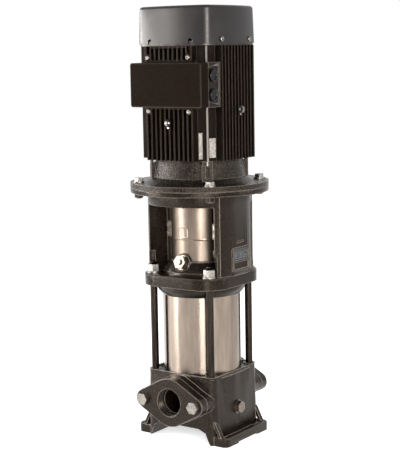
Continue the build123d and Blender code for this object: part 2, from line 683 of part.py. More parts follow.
def stool_walls():
    """Two upright walls beside the windows, each closed at its edges by a slanting web."""
    low, high = PLATE_TOP - 1, STOOL_TOP - 1
    walls = rounded_post(PLATE_HALF, WALL_CORNER, low, high)
    walls -= rounded_post(PLATE_HALF - WALL, WALL_CORNER - WALL, low - 1, high + 1)
    walls -= block((-WINDOW_HALF, WINDOW_HALF), (-200, 200), (low - 2, high + 2))
    edge_y = WALL_CORNER - PLATE_HALF - sqrt(WALL_CORNER ** 2 - (WINDOW_HALF - PLATE_HALF + WALL_CORNER) ** 2)
    web = Polygon((WINDOW_HALF, edge_y), (WINDOW_HALF + WALL, edge_y + WALL - 1),
                  (WEB_INNER_X + WALL, -WEB_INNER_Y + 2), (WEB_INNER_X, -WEB_INNER_Y), align=None)
    for mirror_x in (1, -1):
        for mirror_y in (1, -1):
            shape = web
            if mirror_x < 0:
                shape = mirror(shape, Plane.YZ)
            if mirror_y < 0:
                shape = mirror(shape, Plane.XZ)
            walls += Pos(0, 0, low) * extrude(shape, high - low)
            across = sorted((mirror_x * RETURN_INNER, mirror_x * (WEB_INNER_X + 2)))
            through = sorted((mirror_y * -tab_back(), mirror_y * (RETURN_THICK - tab_back())))
            walls += block(across, through, (low, high))
    return walls


def stool_panel(side):
    """Raised frame low on one wall, around two bare sunk fields with a bar between them."""
    face = side * (PLATE_HALF + PANEL_PROUD)
    inner = side * (PLATE_HALF - WALL / 2)
    floor = sorted((face - side * PANEL_PROUD * 0.7, face + side))
    frame = block(sorted((inner, face)), (-PANEL_HALF, PANEL_HALF), (PANEL_BOTTOM, PANEL_TOP))
    frame = frame.fillet(PANEL_RIM, frame.edges().filter_by(Axis.X))
    split = PANEL_BOTTOM + PANEL_SPLIT * PANEL_HEIGHT
    half = PANEL_HALF - PANEL_RIM
    frame -= block(floor, (-half, half), (PANEL_BOTTOM + PANEL_RIM, split - PANEL_BAR / 2))
    frame -= block(floor, (-half, half), (split + PANEL_BAR / 2, PANEL_TOP - PANEL_RIM))
    return frame


def panel_slot(side):
    """Narrow blind slot in the wall, above the raised frame."""
    face = side * PLATE_HALF
    low = PLATE_TOP + SLOT_HEIGHT
    return block(sorted((face - side * SLOT_DEPTH, face + side)), (-SLOT_LENGTH / 2, SLOT_LENGTH / 2),
                 (low, low + SLOT_WIDTH))


def stool_top():
    """Collar that spreads from the walls, and the round motor flange on it."""
    collar_top = STOOL_TOP - STOOL_FLANGE
    collar_half = PLATE_HALF + COLLAR_PROUD
    collar_low = WINDOW_TOP + COLLAR_CONE
    top = rounded_post(collar_half, COLLAR_CORNER, collar_low, collar_top + 1)
    wall = Pos(0, 0, WINDOW_TOP) * RectangleRounded(2 * PLATE_HALF, 2 * PLATE_HALF, WALL_CORNER)
    collar = Pos(0, 0, collar_low) * RectangleRounded(2 * collar_half, 2 * collar_half, COLLAR_CORNER)
    top += loft([wall.face(), collar.face()])
    flange = tube(MOTOR_FLANGE_RADIUS, 0, collar_top, STOOL_TOP)
    return top + flange.fillet(1.5, flange.edges())


def head_room():
    """Space of the pump head's deck in the stool, with clearance all round."""
    edge, deck = SPIGOT + LOOSE, HEAD_DECK + LOOSE
    low, top = PLATE_BOTTOM - 1, HEAD_TOP + LOOSE
    return turned([(0, low), (edge, low), (edge, DECK_EDGE + LOOSE),
                   (deck, PLATE_TOP + HEAD_DECK_RISE + LOOSE), (deck, top), (0, top)])


def make_stool():
    """Cast motor stool: bottom plate, two walls, deck, collar and round motor flange."""
    stool = rounded_post(PLATE_HALF, PLATE_CORNER, PLATE_BOTTOM, PLATE_TOP)
    stool = stool.fillet(2.5, stool.edges().group_by(Axis.Z)[-1])
    stool += stool_walls()
    stool += stool_top()
    stool += stool_panel(1) + stool_panel(-1)
    stool -= panel_slot(1) + panel_slot(-1)
    stool -= tube(MOTOR_SPIGOT + LOOSE, 0, WINDOW_TOP + DECK_THICK, STOOL_TOP + 1)
    stool -= tube(GUARD_RADIUS - GUARD_SHEET - 1, 0, WINDOW_TOP - 1, STOOL_TOP)
    stool -= head_room()
    seat = tab_back()
    for side in (1, -1):
        for z in tab_screw_heights():
            hole = rod_y(GUARD_SCREW + SLIP, side * tab_screw_x(), z, -seat - 1, RETURN_THICK - seat + 1)
            for shape in both_ways(hole):
                stool -= shape
    for x, y in corners(STAY, STAY):
        stool -= upright(M16 + 1, x, y, PLATE_BOTTOM - 1, PLATE_TOP + 1)
        stool -= upright(M16_WASHER + 1.5, x, y, PLATE_TOP, PLATE_TOP + 45)
    under = STOOL_TOP - STOOL_FLANGE
    for x, y in corners(BOLT_CIRCLE / sqrt(2), BOLT_CIRCLE / sqrt(2)):
        stool -= upright(M12 + M12_HOLE_PLAY, x, y, under - 1, STOOL_TOP + 1)
        stool -= upright(M12_HEAD / sqrt(3) + 2, x, y, under - 16, under)
    return stool


def guard_sheet(radius, low, high):
    """A bent sheet over the front of the coupling."""
    middle = radius - GUARD_SHEET / 2
    x, y = middle * sin(radians(GUARD_ANGLE)), -middle * cos(radians(GUARD_ANGLE))
    arc = ThreePointArc((-x, y), (0, -middle), (x, y))
    return Pos(0, 0, low) * extrude(trace(arc, GUARD_SHEET), high - low)


def make_guard():
    """Front guard: upper and lower sheet lapped at the seam, with two screwed tabs at its edges."""
    lower = guard_sheet(GUARD_RADIUS - GUARD_SHEET / 2, HEAD_TOP, GUARD_SEAM + 1)
    upper = guard_sheet(GUARD_RADIUS, GUARD_SEAM, WINDOW_TOP)
    guard = lower + upper
    x = GUARD_RADIUS * sin(radians(GUARD_ANGLE))
    y = -GUARD_RADIUS * cos(radians(GUARD_ANGLE))
    for side in (1, -1):
        ends = sorted((side * (x - 1.5), side * (x + TAB_LENGTH)))
        tab = block(ends, (y - TAB_BEND, y + GUARD_SHEET - TAB_BEND), (TAB_LOW, TAB_HIGH))
        outer = tab.edges().filter_by(Axis.Y).group_by(Axis.X)[-1 if side > 0 else 0]
        tab = tab.fillet(TAB_CORNER, outer)
        for z in tab_screw_heights():
            tab -= rod_y(GUARD_SCREW + LOOSE, side * tab_screw_x(), z, y - 5, y + 5)
        guard += tab
        guard -= guard_corner(side, x)
    return guard - vent_place(0) * Cylinder(VENT_BOSS + 1, 60)


def guard_corner(side, x):
    """What rounds one lower corner of the guard, cut along Y."""
    reach = (-GUARD_RADIUS, 0)
    low, centre = HEAD_TOP - 1, HEAD_TOP + GUARD_CORNER
    square = block(sorted((side * (x - GUARD_CORNER), side * (x + 1))), reach, (low, centre))
    return square - rod_y(GUARD_CORNER, side * (x - GUARD_CORNER), centre, *reach)


def tab_back():
    """Distance of the tabs' seat from the axis, along Y."""
    return GUARD_RADIUS * cos(radians(GUARD_ANGLE)) - GUARD_SHEET + TAB_BEND


def tab_screw_x():
    """Distance of the tabs' screws from the axis, along X."""
    return GUARD_RADIUS * sin(radians(GUARD_ANGLE)) + TAB_LENGTH * 0.6


def tab_screw_heights():
    """Heights of the two screws in each tab."""
    return (TAB_LOW + TAB_HEIGHT * 0.25, TAB_LOW + TAB_HEIGHT * 0.75)


def make_guard_screws():
    """Pan-head screws that hold the front guard's tabs to the stool's webs."""
    screws = []
    x = tab_screw_x()
    y = -tab_back() - GUARD_SHEET
    for side in (1, -1):
        for z in tab_screw_heights():
            head = rod_y(GUARD_SCREW_HEAD, side * x, z, y - 2.6, y)
            screws.append(head + rod_y(GUARD_SCREW, side * x, z, y - 1, y + GUARD_SHEET + RETURN_THICK))
    return screws


def curved_blades(count, inner, outer, sweep, low, high, thick):
    """Blades swept backwards along an arc from the inner to the outer radius."""
    lean = radians(sweep)
    start = (inner, 0)
    end = (outer * cos(lean), outer * sin(lean))
    middle_radius = (inner + outer) / 2
    middle = (middle_radius * cos(lean * 0.3), middle_radius * sin(lean * 0.3))
    arc = ThreePointArc(start, middle, end)
    blade = Pos(0, 0, low) * extrude(trace(arc, thick), high - low)
    return [Rot(0, 0, 360 / count * k) * blade for k in range(count)]


def stage_floor(stage):
    """Height of the underside of a stage."""
    return STAGE_ZERO + stage * STAGE_PITCH


def make_chamber(stage):
    """Pressed stage chamber: a floor with the neck ring's hole and an outer wall."""
    low = stage_floor(stage)
    chamber = tube(CHAMBER_RADIUS, NECK + 5, low, low + CHAMBER_SHEET)
    return chamber + tube(CHAMBER_RADIUS, CHAMBER_RADIUS - CHAMBER_SHEET, low, low + STAGE_PITCH)


def make_neck_ring(stage):
    """Wear ring in the chamber's floor, around the impeller's eye."""
    low = stage_floor(stage)
    return (tube(NECK + 5 - SLIP, NECK + RUN, low, low + CHAMBER_SHEET)
            + tube(NECK + 8, NECK + RUN, low + CHAMBER_SHEET, low + CHAMBER_SHEET + 2))


def make_impeller(stage):
    """Closed impeller: eye skirt, two shrouds with swept blades between them, and hub."""
    low = stage_floor(stage) + 1
    front = low + 7
    back = front + SHROUD + BLADE_HEIGHT
    impeller = tube(NECK, NECK - 2, low, front + 1)
    impeller += tube(IMPELLER_RADIUS, NECK - 2, front, front + SHROUD)
    impeller += tube(IMPELLER_RADIUS, PUMP_SHAFT + SLIP, back, back + SHROUD)
    impeller += tube(HUB, PUMP_SHAFT + SLIP, front, back + SHROUD + 2)
    blades = (BLADES, NECK - 3, IMPELLER_RADIUS - 1.5, BLADE_SWEEP)
    for blade in curved_blades(*blades, front + SHROUD - 0.5, back + 0.5, BLADE_THICK):
        impeller += blade
    return impeller


def impeller_top():
    """Height of an impeller's hub above its stage's floor."""
    return 1 + 7 + SHROUD + BLADE_HEIGHT + SHROUD + 2


def make_guide_vanes(stage):
    """Fixed guide plate above the impeller, with vanes that lead the water back to the next eye."""
    low = stage_floor(stage) + impeller_top() + RUN - 1.5
    roof = stage_floor(stage) + STAGE_PITCH
    plate = tube(CHAMBER_RADIUS - CHAMBER_SHEET - 6, HUB + RUN + 0.4, low, low + 1.5)
    vanes = (VANES, NECK + 9, CHAMBER_RADIUS - CHAMBER_SHEET - SLIP - 1.2, VANE_SWEEP)
    for vane in curved_blades(*vanes, low + 1, roof, BLADE_THICK):
        plate += vane
    return plate


def make_spacer(stage):
    """Spacer pipe on the shaft between two impeller hubs."""
    low = stage_floor(stage) + impeller_top()
    high = stage_floor(stage + 1) + 8
    if stage == STAGES - 1:
        high = low + 8
    return tube(HUB - 1, PUMP_SHAFT + SLIP, low, high)


def make_inlet_part():
    """Spider under the first stage that centres the stack on the well and carries the lower bush."""
    part = tube(CHAMBER_RADIUS, WELL_RADIUS - 5, STACK_SEAT, STAGE_ZERO)
    part -= tube(CHAMBER_RADIUS + 1, WELL_RADIUS + WELL_WALL + 0.5, STACK_SEAT - 1, STAGE_ZERO - 2)
    part += tube(WELL_RADIUS - LOOSE, WELL_RADIUS - 5, STACK_SEAT - 14, STACK_SEAT + 1)
    part += tube(PUMP_SHAFT + BUSH + 4, 0, STACK_SEAT - 14, STACK_SEAT - 1)
    for k in range(3):
        arm = block((PUMP_SHAFT, WELL_RADIUS - 4), (-2, 2), (STACK_SEAT - 13, STACK_SEAT - 3))
        part += Rot(0, 0, 30 + 120 * k) * arm
    return part - tube(PUMP_SHAFT + BUSH + SLIP, 0, STACK_SEAT - 15, STACK_SEAT + 1)


def make_lower_bush():
    """Plain bearing bush for the shaft's lower end."""
    return tube(PUMP_SHAFT + BUSH, PUMP_SHAFT + SLIP, STACK_SEAT - 14, STACK_SEAT - 1)


def make_outlet_part():
    """Top of the stack: a plate with water holes and a windowed wall up to the pump head."""
    part = tube(CHAMBER_RADIUS, HUB + 4, OUTLET_BOTTOM, OUTLET_BOTTOM + OUTLET_PLATE)
    part += tube(CHAMBER_RADIUS, CHAMBER_RADIUS - 4, OUTLET_BOTTOM, HEAD_UNDER)
    for k in range(6):
        part -= Rot(0, 0, 60 * k) * upright(9, 40, 0, OUTLET_BOTTOM - 1, OUTLET_BOTTOM + OUTLET_PLATE + 1)
        window = block((50, 80), (-14, 14), (OUTLET_BOTTOM + 10, HEAD_UNDER - 8))
        part -= Rot(0, 0, 60 * k + 30) * window
    return part


def make_straps():
    """Four flat straps hold the stack together."""
    inner = CHAMBER_RADIUS + SLIP
    shell = tube(inner + STRAP_THICK, inner, STACK_SEAT + STRAP_LAP, OUTLET_BOTTOM + STRAP_LAP)
    strap = shell & block((0, SLEEVE_RADIUS), (-STRAP_WIDTH / 2, STRAP_WIDTH / 2), (0, OUTLET_BOTTOM + 10))
    return [Rot(0, 0, 45 + 90 * k) * strap for k in range(4)]


def make_pump_shaft():
    """Pump shaft from the lower bush to the coupling, with a cross hole for the pin."""
    shaft = tube(PUMP_SHAFT, 0, STACK_SEAT - SHAFT_END, SHAFT_JOINT - SHAFT_GAP)
    shaft = shaft.chamfer(1.0, None, shaft.edges().group_by(Axis.Z)[0])
    return shaft - rod_x(PIN + SLIP, 0, pin_height(), -20, 20)


def pin_height():
    """Height of the cross pin in the coupling's lower part."""
    return COUPLING_BOTTOM + PIN_RISE


def make_coupling_pin():
    """Cross pin through the pump shaft, held in the coupling halves."""
    return rod_x(PIN, 0, pin_height(), -PUMP_SHAFT - 8, PUMP_SHAFT + 8)


def coupling_screw_places():
    """Sides and heights of the coupling's four clamping screws."""
    return [(side, z) for side in (1, -1) for z in (COUPLING_BOTTOM + 26, COUPLING_TOP - 22)]


def make_coupling_half():
    """Front half of the split shaft coupling, bored for both shafts, with clamping ears."""
    half = tube(COUPLING_RADIUS, 0, COUPLING_BOTTOM, COUPLING_TOP)
    half = half.chamfer(3, None, half.edges().group_by(Axis.Z)[0] + half.edges().group_by(Axis.Z)[-1])
    middle = (COUPLING_BOTTOM + COUPLING_TOP) / 2 - 2
    half -= tube(COUPLING_RADIUS + 1, COUPLING_RADIUS - 5, middle - COUPLING_EAR, middle + COUPLING_EAR + 2)
    half -= tube(PUMP_SHAFT + SLIP, 0, COUPLING_BOTTOM - 1, SHAFT_JOINT)
    half -= tube(MOTOR_SHAFT + SLIP, 0, SHAFT_JOINT - SHAFT_GAP + 1, COUPLING_TOP + 1)
    half -= block((-60, 60), (-COUPLING_SPLIT / 2, 60), (COUPLING_BOTTOM - 1, COUPLING_TOP + 1))
    half -= rod_x(PIN + SLIP, 0, pin_height(), -PUMP_SHAFT - 8, PUMP_SHAFT + 8)
    for side, z in coupling_screw_places():
        half -= rod_y(COUPLING_SCREW + SLIP, side * screw_offset(), z, -60, 0)
        half -= rod_y(7 + LOOSE, side * screw_offset(), z, -60, -16)
    return half


def screw_offset():
    """Distance of the clamping screws from the axis."""
    return COUPLING_RADIUS - 7


def make_coupling_screws():
    """Socket-head screws that clamp the two coupling halves."""
    screws = []
    for side, z in coupling_screw_places():
        x = side * screw_offset()
        socket = Pos(x, -22, z) * Rot(90, 0, 0) * extrude(RegularPolygon(3.4, 6), 5)
        head = rod_y(6.5, x, z, -24, -16) - socket
        screws.append(head + rod_y(COUPLING_SCREW, x, z, -17, 12))
    return screws


def make_seal_parts():
    """Cartridge seal: fixed plate with seat on the head, and the rotating head on the shaft."""
    plate = tube(44, PUMP_SHAFT + RUN + 1, HEAD_TOP, HEAD_TOP + 6)
    plate += tube(SEAL_BORE - LOOSE, PUMP_SHAFT + RUN + 1, HEAD_TOP - 10, HEAD_TOP + 1)
    rotating = tube(20, PUMP_SHAFT + SLIP, HEAD_TOP - 42, HEAD_TOP - 10 - 0.1)
    rotating -= tube(21, 17, HEAD_TOP - 34, HEAD_TOP - 18)
    return plate, rotating


def bearing_rings(bore, outer, width, low):
    """Outer ring, inner ring and balls of one deep-groove bearing."""
    share = (outer - bore) * BEARING_RACE
    middle = (bore + outer) / 2
    ball = (outer - bore) / 2 - share + BALL_SINK
    groove = Pos(0, 0, low + width / 2) * Torus(middle, ball + BALL_PLAY)
    outer_ring = tube(outer, outer - share, low, low + width) - groove
    inner_ring = tube(bore + share, bore + SLIP, low, low + width) - groove
    balls = [Rot(0, 0, 360 / BEARING_BALLS * k) * Pos(middle, 0, low + width / 2) * Sphere(ball)
             for k in range(BEARING_BALLS)]
    return outer_ring, inner_ring, balls


def drive_bearing_floor():
    """Height of the drive-end bearing."""
    return FLANGE_TOP + 4


def fan_bearing_floor():
    """Height of the fan-end bearing, inside the end shield's hub."""
    return HOUSING_TOP - SHIELD_THICK - FAN_WIDTH


def make_bracket():
    """Drive-end bracket: round flange, neck with four corner posts, and the bearing's seat."""
    seat = DRIVE_OUTER
    floor = drive_bearing_floor()
    profile = [(DRIVE_BORE + 6, STOOL_TOP), (MOTOR_FLANGE_RADIUS, STOOL_TOP),
               (MOTOR_FLANGE_RADIUS, FLANGE_TOP), (NECK_FOOT, FLANGE_TOP),
               (NECK_FOOT_TOP, FLANGE_TOP + NECK_FOOT_RISE), (NECK_RADIUS, HOUSING_BOTTOM),
               (NECK_RADIUS - NECK_WALL, HOUSING_BOTTOM), (NECK_RADIUS - NECK_WALL, FLANGE_TOP + 2),
               (seat + 10, FLANGE_TOP + 2), (seat + 8, floor + DRIVE_WIDTH), (seat, floor + DRIVE_WIDTH),
               (seat, floor), (DRIVE_BORE + 6, floor)]
    bracket = turned(profile)
    bracket += tube(MOTOR_SPIGOT, DRIVE_BORE + 6, STOOL_TOP - MOTOR_SPIGOT_HEIGHT, STOOL_TOP + 1)
    half = POST_WIDTH / 2
    for k in range(4):
        post = block((NECK_RADIUS - 4, POST_RADIUS), (-half, half), (FLANGE_TOP, HOUSING_BOTTOM))
        notch = block((NECK_RADIUS, POST_RADIUS - 5), (-half - 1, half + 1),
                      (HOUSING_BOTTOM - POST_GAP, HOUSING_BOTTOM + 1))
        pocket = block((POST_RADIUS - 7, POST_RADIUS + 1), (-4.5, 4.5), (FLANGE_TOP + 14, HOUSING_BOTTOM - 10))
        bracket += Rot(0, 0, 45 + 90 * k) * (post - notch - pocket)
    for k in range(8):
        rib = block((seat + 6, NECK_RADIUS - NECK_WALL + 1), (-2.5, 2.5), (FLANGE_TOP, FLANGE_TOP + 14))
        bracket += Rot(0, 0, 22.5 + 45 * k) * rib
    for x, y in corners(BOLT_CIRCLE / sqrt(2), BOLT_CIRCLE / sqrt(2)):
        bracket -= upright(M12 + M12_HOLE_PLAY, x, y, STOOL_TOP - 1, FLANGE_TOP + 1)
        bracket -= upright(M12_WASHER + 1, x, y, FLANGE_TOP, FLANGE_TOP + 20)
    for x, y in bracket_screw_places():
        bracket -= upright(BRACKET_SCREW + SLIP, x, y, HOUSING_BOTTOM - 12, HOUSING_BOTTOM + 1)
    return bracket


def bracket_screw_places():
    """The four screws between bracket and housing, on the diagonals."""
    reach = (POST_RADIUS - BRACKET_SCREW) / sqrt(2)
    return corners(reach, reach)


def make_bracket_screws():
    """Screws up through the posts into the housing's corner lobes."""
    low, high = HOUSING_BOTTOM - 10, HOUSING_BOTTOM + 16
    return [upright(BRACKET_SCREW, x, y, low, high) for x, y in bracket_screw_places()]


def make_flange_bolts():
    """Four M12 bolts down through both round flanges, with washers, and nuts below."""
    bolts, washers, nuts = [], [], []
    under = STOOL_TOP - STOOL_FLANGE
    for x, y in corners(BOLT_CIRCLE / sqrt(2), BOLT_CIRCLE / sqrt(2)):
        seat = FLANGE_TOP + M12_WASHER_THICK
        head = Pos(x, y, seat) * hexagon(M12_HEAD, M12_HEAD_HEIGHT)
        bolts.append(head + upright(M12, x, y, under - M12_NUT_HEIGHT - 2, seat + 1))
        washer = upright(M12_WASHER, x, y, FLANGE_TOP, seat)
        washers.append(washer - upright(M12 + LOOSE, x, y, FLANGE_TOP - 1, seat + 1))
        nut = Pos(x, y, under) * Rot(180, 0, 0) * hexagon(M12_HEAD, M12_NUT_HEIGHT)
        nuts.append(nut - upright(M12 + SLIP, x, y, under - 20, under + 1))
    return bolts, washers, nuts


def fin_face():
    """The fins of one face, looking along +X, from the housing's tube out to the tip plane."""
    fins = []
    pitch = (2 * FIN_HALF - FIN_THICK) / (FINS - 1)
    for k in range(FINS):
        y = -FIN_HALF + FIN_THICK / 2 + k * pitch
        root = sqrt(HOUSING_RADIUS ** 2 - y ** 2) - 2
        fins.append(Pos((root + FIN_TIP) / 2, y) * Rectangle(FIN_TIP - root, FIN_THICK))
    return fins


def housing_section():
    """Cross-section of the finned housing: tube, four fields of fins and four smooth corner lobes."""
    section = Circle(HOUSING_RADIUS)
    for k in range(4):
        for fin in fin_face():
            section += Rot(0, 0, 90 * k) * fin
        lobe = Circle(LOBE_RADIUS)
        reach = 2 * LOBE_RADIUS
        spread = reach * sin(radians(LOBE_ANGLE))
        wedge = Polygon((0, 0), (reach, -spread), (reach, spread), align=None)
        section += Rot(0, 0, 45 + 90 * k) * (lobe & wedge)
        section += Rot(0, 0, 45 + 90 * k) * (Pos(RIDGE_TIP - 5, 0) * Rectangle(10, RIDGE_WIDTH))
    return section - Circle(STATOR_RADIUS + SLIP)


def box_pad():
    """Pad of the terminal box, with a slanted ledge where the fins end on it, and screw bosses."""
    inner = -HOUSING_RADIUS + 30
    low, high = BOX_BOTTOM - PAD_MARGIN, BOX_TOP + PAD_MARGIN
    ledge = [(-BOX_SEAT, low), (-BOX_SEAT, high), (-BOX_SEAT + 3, high), (-HOUSING_RADIUS, high + PAD_LEDGE),
             (inner, high + PAD_LEDGE), (inner, low)]
    side = make_face(Polyline(*[(0, y, z) for y, z in ledge], close=True))
    half = FIN_HALF - 2
    pad = Pos(-half, 0, 0) * extrude(side, 2 * half, dir=(1, 0, 0))
    for x in (-CHANNEL_X, CHANNEL_X):
        for z in box_screw_heights():
            pad += rod_y(SEAT_BOSS, x, z, -BOX_SEAT, inner)
    return pad


def top_rim():
    """Rim across the front face, under the fan cover, on which the fins above the terminal box end."""
    half = CHANNEL_X - CHANNEL_WIDTH / 2
    return block((-half, half), (-FIN_TIP + 1, -HOUSING_RADIUS + 30), (HOUSING_TOP - TOP_RIM, HOUSING_TOP))


def make_housing():
    """Finned cast housing of the motor, with the seat of the terminal box on its front."""
    housing = Pos(0, 0, HOUSING_BOTTOM) * extrude(housing_section(), HOUSING_LENGTH)
    half = FIN_HALF + 2
    housing -= block((-half, half), (-BOX_SEAT - 1, -HOUSING_RADIUS + 4),
                     (BOX_BOTTOM - PAD_MARGIN, BOX_TOP + PAD_MARGIN))
    housing += box_pad() + top_rim() - tube(STATOR_RADIUS + SLIP, 0, HOUSING_BOTTOM, HOUSING_TOP)
    housing -= block((-FIN_HALF, FIN_HALF), (-BOX_SEAT - 1, -BOX_REAR), (BOX_BOTTOM - 0.5, BOX_TOP + 0.5))
    for x in (-CHANNEL_X, CHANNEL_X):
        housing -= block((x - CHANNEL_WIDTH / 2, x + CHANNEL_WIDTH / 2), (-FIN_TIP - 1, -FIN_TIP + 9),
                         (BOX_TOP + SEAT_SCREW_HIGH + 9, HOUSING_TOP + 1))
        for z in box_screw_heights():
            housing -= rod_y(SEAT_SCREW + SLIP, x, z, -BOX_SEAT - 1, -BOX_SEAT + 12)
    for x, y in bracket_screw_places():
        housing -= upright(BRACKET_SCREW + SLIP, x, y, HOUSING_BOTTOM - 1, HOUSING_BOTTOM + 18)
    return housing


def box_screw_heights():
    """Heights of the screws above and below the terminal box."""
    return (BOX_BOTTOM - SEAT_SCREW_LOW, BOX_TOP + SEAT_SCREW_HIGH)


def make_seat_screws():
    """Pan-head screws on the housing's pad, above and below the terminal box."""
    screws = []
    for x in (-CHANNEL_X, CHANNEL_X):
        for z in box_screw_heights():
            head = rod_y(SEAT_SCREW_HEAD, x, z, -BOX_SEAT - 3, -BOX_SEAT)
            screws.append(head + rod_y(SEAT_SCREW, x, z, -BOX_SEAT - 1, -BOX_SEAT + 10))
    return screws


def make_stator():
    """Laminated stator core and the winding heads at its ends."""
    core = tube(STATOR_RADIUS, STATOR_BORE, CORE_BOTTOM, CORE_TOP)
    low = tube(WINDING_OUTER, WINDING_INNER, CORE_BOTTOM - WINDING_HEIGHT, CORE_BOTTOM)
    low = low.fillet(WINDING_ROUND, low.edges().group_by(Axis.Z)[0])
    high = tube(WINDING_OUTER, WINDING_INNER, CORE_TOP, CORE_TOP + WINDING_HEIGHT)
    high = high.fillet(WINDING_ROUND, high.edges().group_by(Axis.Z)[-1])
    return core, [low, high]


def make_shield():
    """Fan-end shield: a spigoted plate, the bearing's seat, and arms with posts for the cover."""
    floor = fan_bearing_floor()
    shield = tube(HOUSING_RADIUS - 3, FAN_BORE + 2, HOUSING_TOP - SHIELD_THICK, HOUSING_TOP + 2)
    shield -= tube(HOUSING_RADIUS, STATOR_RADIUS - LOOSE, HOUSING_TOP - SHIELD_THICK - 1, HOUSING_TOP)
    shield += tube(FAN_OUTER + 7, FAN_OUTER, floor, HOUSING_TOP - SHIELD_THICK + 1)
    z = COVER_BOTTOM + COVER_SCREW_RISE
    reach = cover_seat(CHANNEL_X) - COVER_SHEET
    inside = bowed_square(COVER_HALF - COVER_SHEET - 1, COVER_CROWN, COVER_CORNER - COVER_SHEET)
    inside = extrude(Pos(0, 0, floor - 1) * inside, z + 20 - floor)
    for turn, y in cover_screw_places():
        arm = block((STATOR_RADIUS - 30, reach), (y - 7, y + 7), (HOUSING_TOP, HOUSING_TOP + 4))
        post = block((reach - 12, reach), (y - 7, y + 7), (HOUSING_TOP, z + 7))
        shield += Rot(0, 0, turn) * (arm + post - rod_x(COVER_SCREW + SLIP, y, z, reach - 20, reach + 1))
    return shield & inside


def make_motor_shaft():
    """Stepped motor shaft from the coupling up to the fan."""
    drive_low = drive_bearing_floor()
    drive_high = drive_low + DRIVE_WIDTH
    fan_low = fan_bearing_floor()
    fan_high = fan_low + FAN_WIDTH
    shaft_top = COVER_BOTTOM + FAN_HEIGHT + 6
    steps = [(0, SHAFT_JOINT), (MOTOR_SHAFT - 1.5, SHAFT_JOINT), (MOTOR_SHAFT, SHAFT_JOINT + 1.5),
             (MOTOR_SHAFT, drive_low - 6), (DRIVE_BORE, drive_low - 6), (DRIVE_BORE, drive_high),
             (CORE_SEAT, drive_high), (CORE_SEAT, CORE_TOP + 4), (FAN_STEP, CORE_TOP + 4),
             (FAN_STEP, fan_low), (FAN_BORE, fan_low), (FAN_BORE, fan_high + 2), (FAN_SHAFT, fan_high + 2),
             (FAN_SHAFT, shaft_top), (0, shaft_top)]
    return turned(steps)


def make_rotor_core():
    """Rotor core with its end rings."""
    core = tube(STATOR_BORE - AIR_GAP, CORE_SEAT + SLIP, CORE_BOTTOM, CORE_TOP)
    return core + tube(50, 38, CORE_BOTTOM - 10, CORE_BOTTOM + 1) + tube(50, 38, CORE_TOP - 1, CORE_TOP + 10)


def make_fan():
    """Radial fan: hub, back plate and straight blades."""
    low = COVER_BOTTOM + 4
    fan = tube(FAN_HUB, FAN_SHAFT + SLIP, low, low + FAN_HEIGHT)
    fan += tube(FAN_RADIUS, FAN_SHAFT + SLIP, low, low + 2.5)
    for k in range(FAN_BLADES):
        blade = block((FAN_HUB - 2, FAN_RADIUS - 1), (-1.2, 1.2), (low + 1, low + FAN_HEIGHT))
        fan += Rot(0, 0, 360 / FAN_BLADES * k) * blade
    return fan


def cover_shape(inset, low, high):
    """Bowed square pressing that narrows towards its top."""
    bottom = Pos(0, 0, low) * bowed_square(COVER_HALF - inset, COVER_CROWN, COVER_CORNER - inset)
    top = Pos(0, 0, high) * bowed_square(COVER_HALF - COVER_DRAFT - inset, COVER_CROWN, COVER_CORNER - inset)
    body = loft([bottom.face(), top.face()])
    return body.fillet(COVER_EDGE - inset, body.edges().group_by(Axis.Z)[-1])


def grille_slots():
    """Rings of curved air slots in the cover's top."""
    slots = []
    for radius in SLOT_ROWS:
        reach = 2 * radius
        wedge = Polygon((0, 0), (reach, -reach * SLOT_SPREAD), (reach, reach * SLOT_SPREAD), align=None)
        slot = (Circle(radius + SLOT_HALF) - Circle(radius - SLOT_HALF)) & wedge
        slots += [Rot(0, 0, 360 / SLOTS * k) * slot for k in range(SLOTS)]
    return [Pos(0, 0, COVER_TOP - 6) * extrude(slot, 12) for slot in slots]


def cover_screw_places():
    """Turn about the axis and sideways place of the four cover screws, on the faces along X."""
    return [(turn, y) for turn in (0, 180) for y in (-CHANNEL_X, CHANNEL_X)]


def cover_seat(y):
    """Distance from the axis to the cover's bowed side, so far from its middle, at the screws' height."""
    share = COVER_SCREW_RISE / COVER_HEIGHT
    return COVER_HALF - COVER_DRAFT * share - COVER_CROWN + sqrt(COVER_CROWN ** 2 - y ** 2)


def make_cover():
    """Pressed fan cover with air slots in its top and screw notches in its skirt."""
    cover = cover_shape(0, COVER_BOTTOM, COVER_TOP)
    cover -= cover_shape(COVER_SHEET, COVER_BOTTOM - 1, COVER_TOP - COVER_SHEET)
    for slot in grille_slots():
        cover -= slot
    for turn, y in cover_screw_places():
        hole = rod_x(COVER_SCREW + LOOSE, y, COVER_BOTTOM + COVER_SCREW_RISE, COVER_HALF - 12, COVER_HALF + 5)
        cover -= Rot(0, 0, turn) * hole
        cover -= Rot(0, 0, turn + 90) * skirt_notch(y)
    return cover


def skirt_notch(y):
    """A notch with a round top in the skirt's lower edge."""
    low, high = COVER_HALF - 12, COVER_HALF + 5
    top = COVER_BOTTOM + NOTCH_RISE
    foot = block((low, high), (y - NOTCH_RADIUS, y + NOTCH_RADIUS), (COVER_BOTTOM - 1, top))
    return foot + rod_x(NOTCH_RADIUS, y, top, low, high)


def make_cover_screws():
    """Pan-head screws through the cover's skirt into the shield's posts."""
    screws = []
    z = COVER_BOTTOM + COVER_SCREW_RISE
    for turn, y in cover_screw_places():
        seat = cover_seat(abs(y) - COVER_SCREW_HEAD) + SLIP
        screw = rod_x(COVER_SCREW_HEAD, y, z, seat, seat + 3) + rod_x(COVER_SCREW, y, z, seat - 9, seat + 1)
        screws.append(Rot(0, 0, turn) * screw)
    return screws


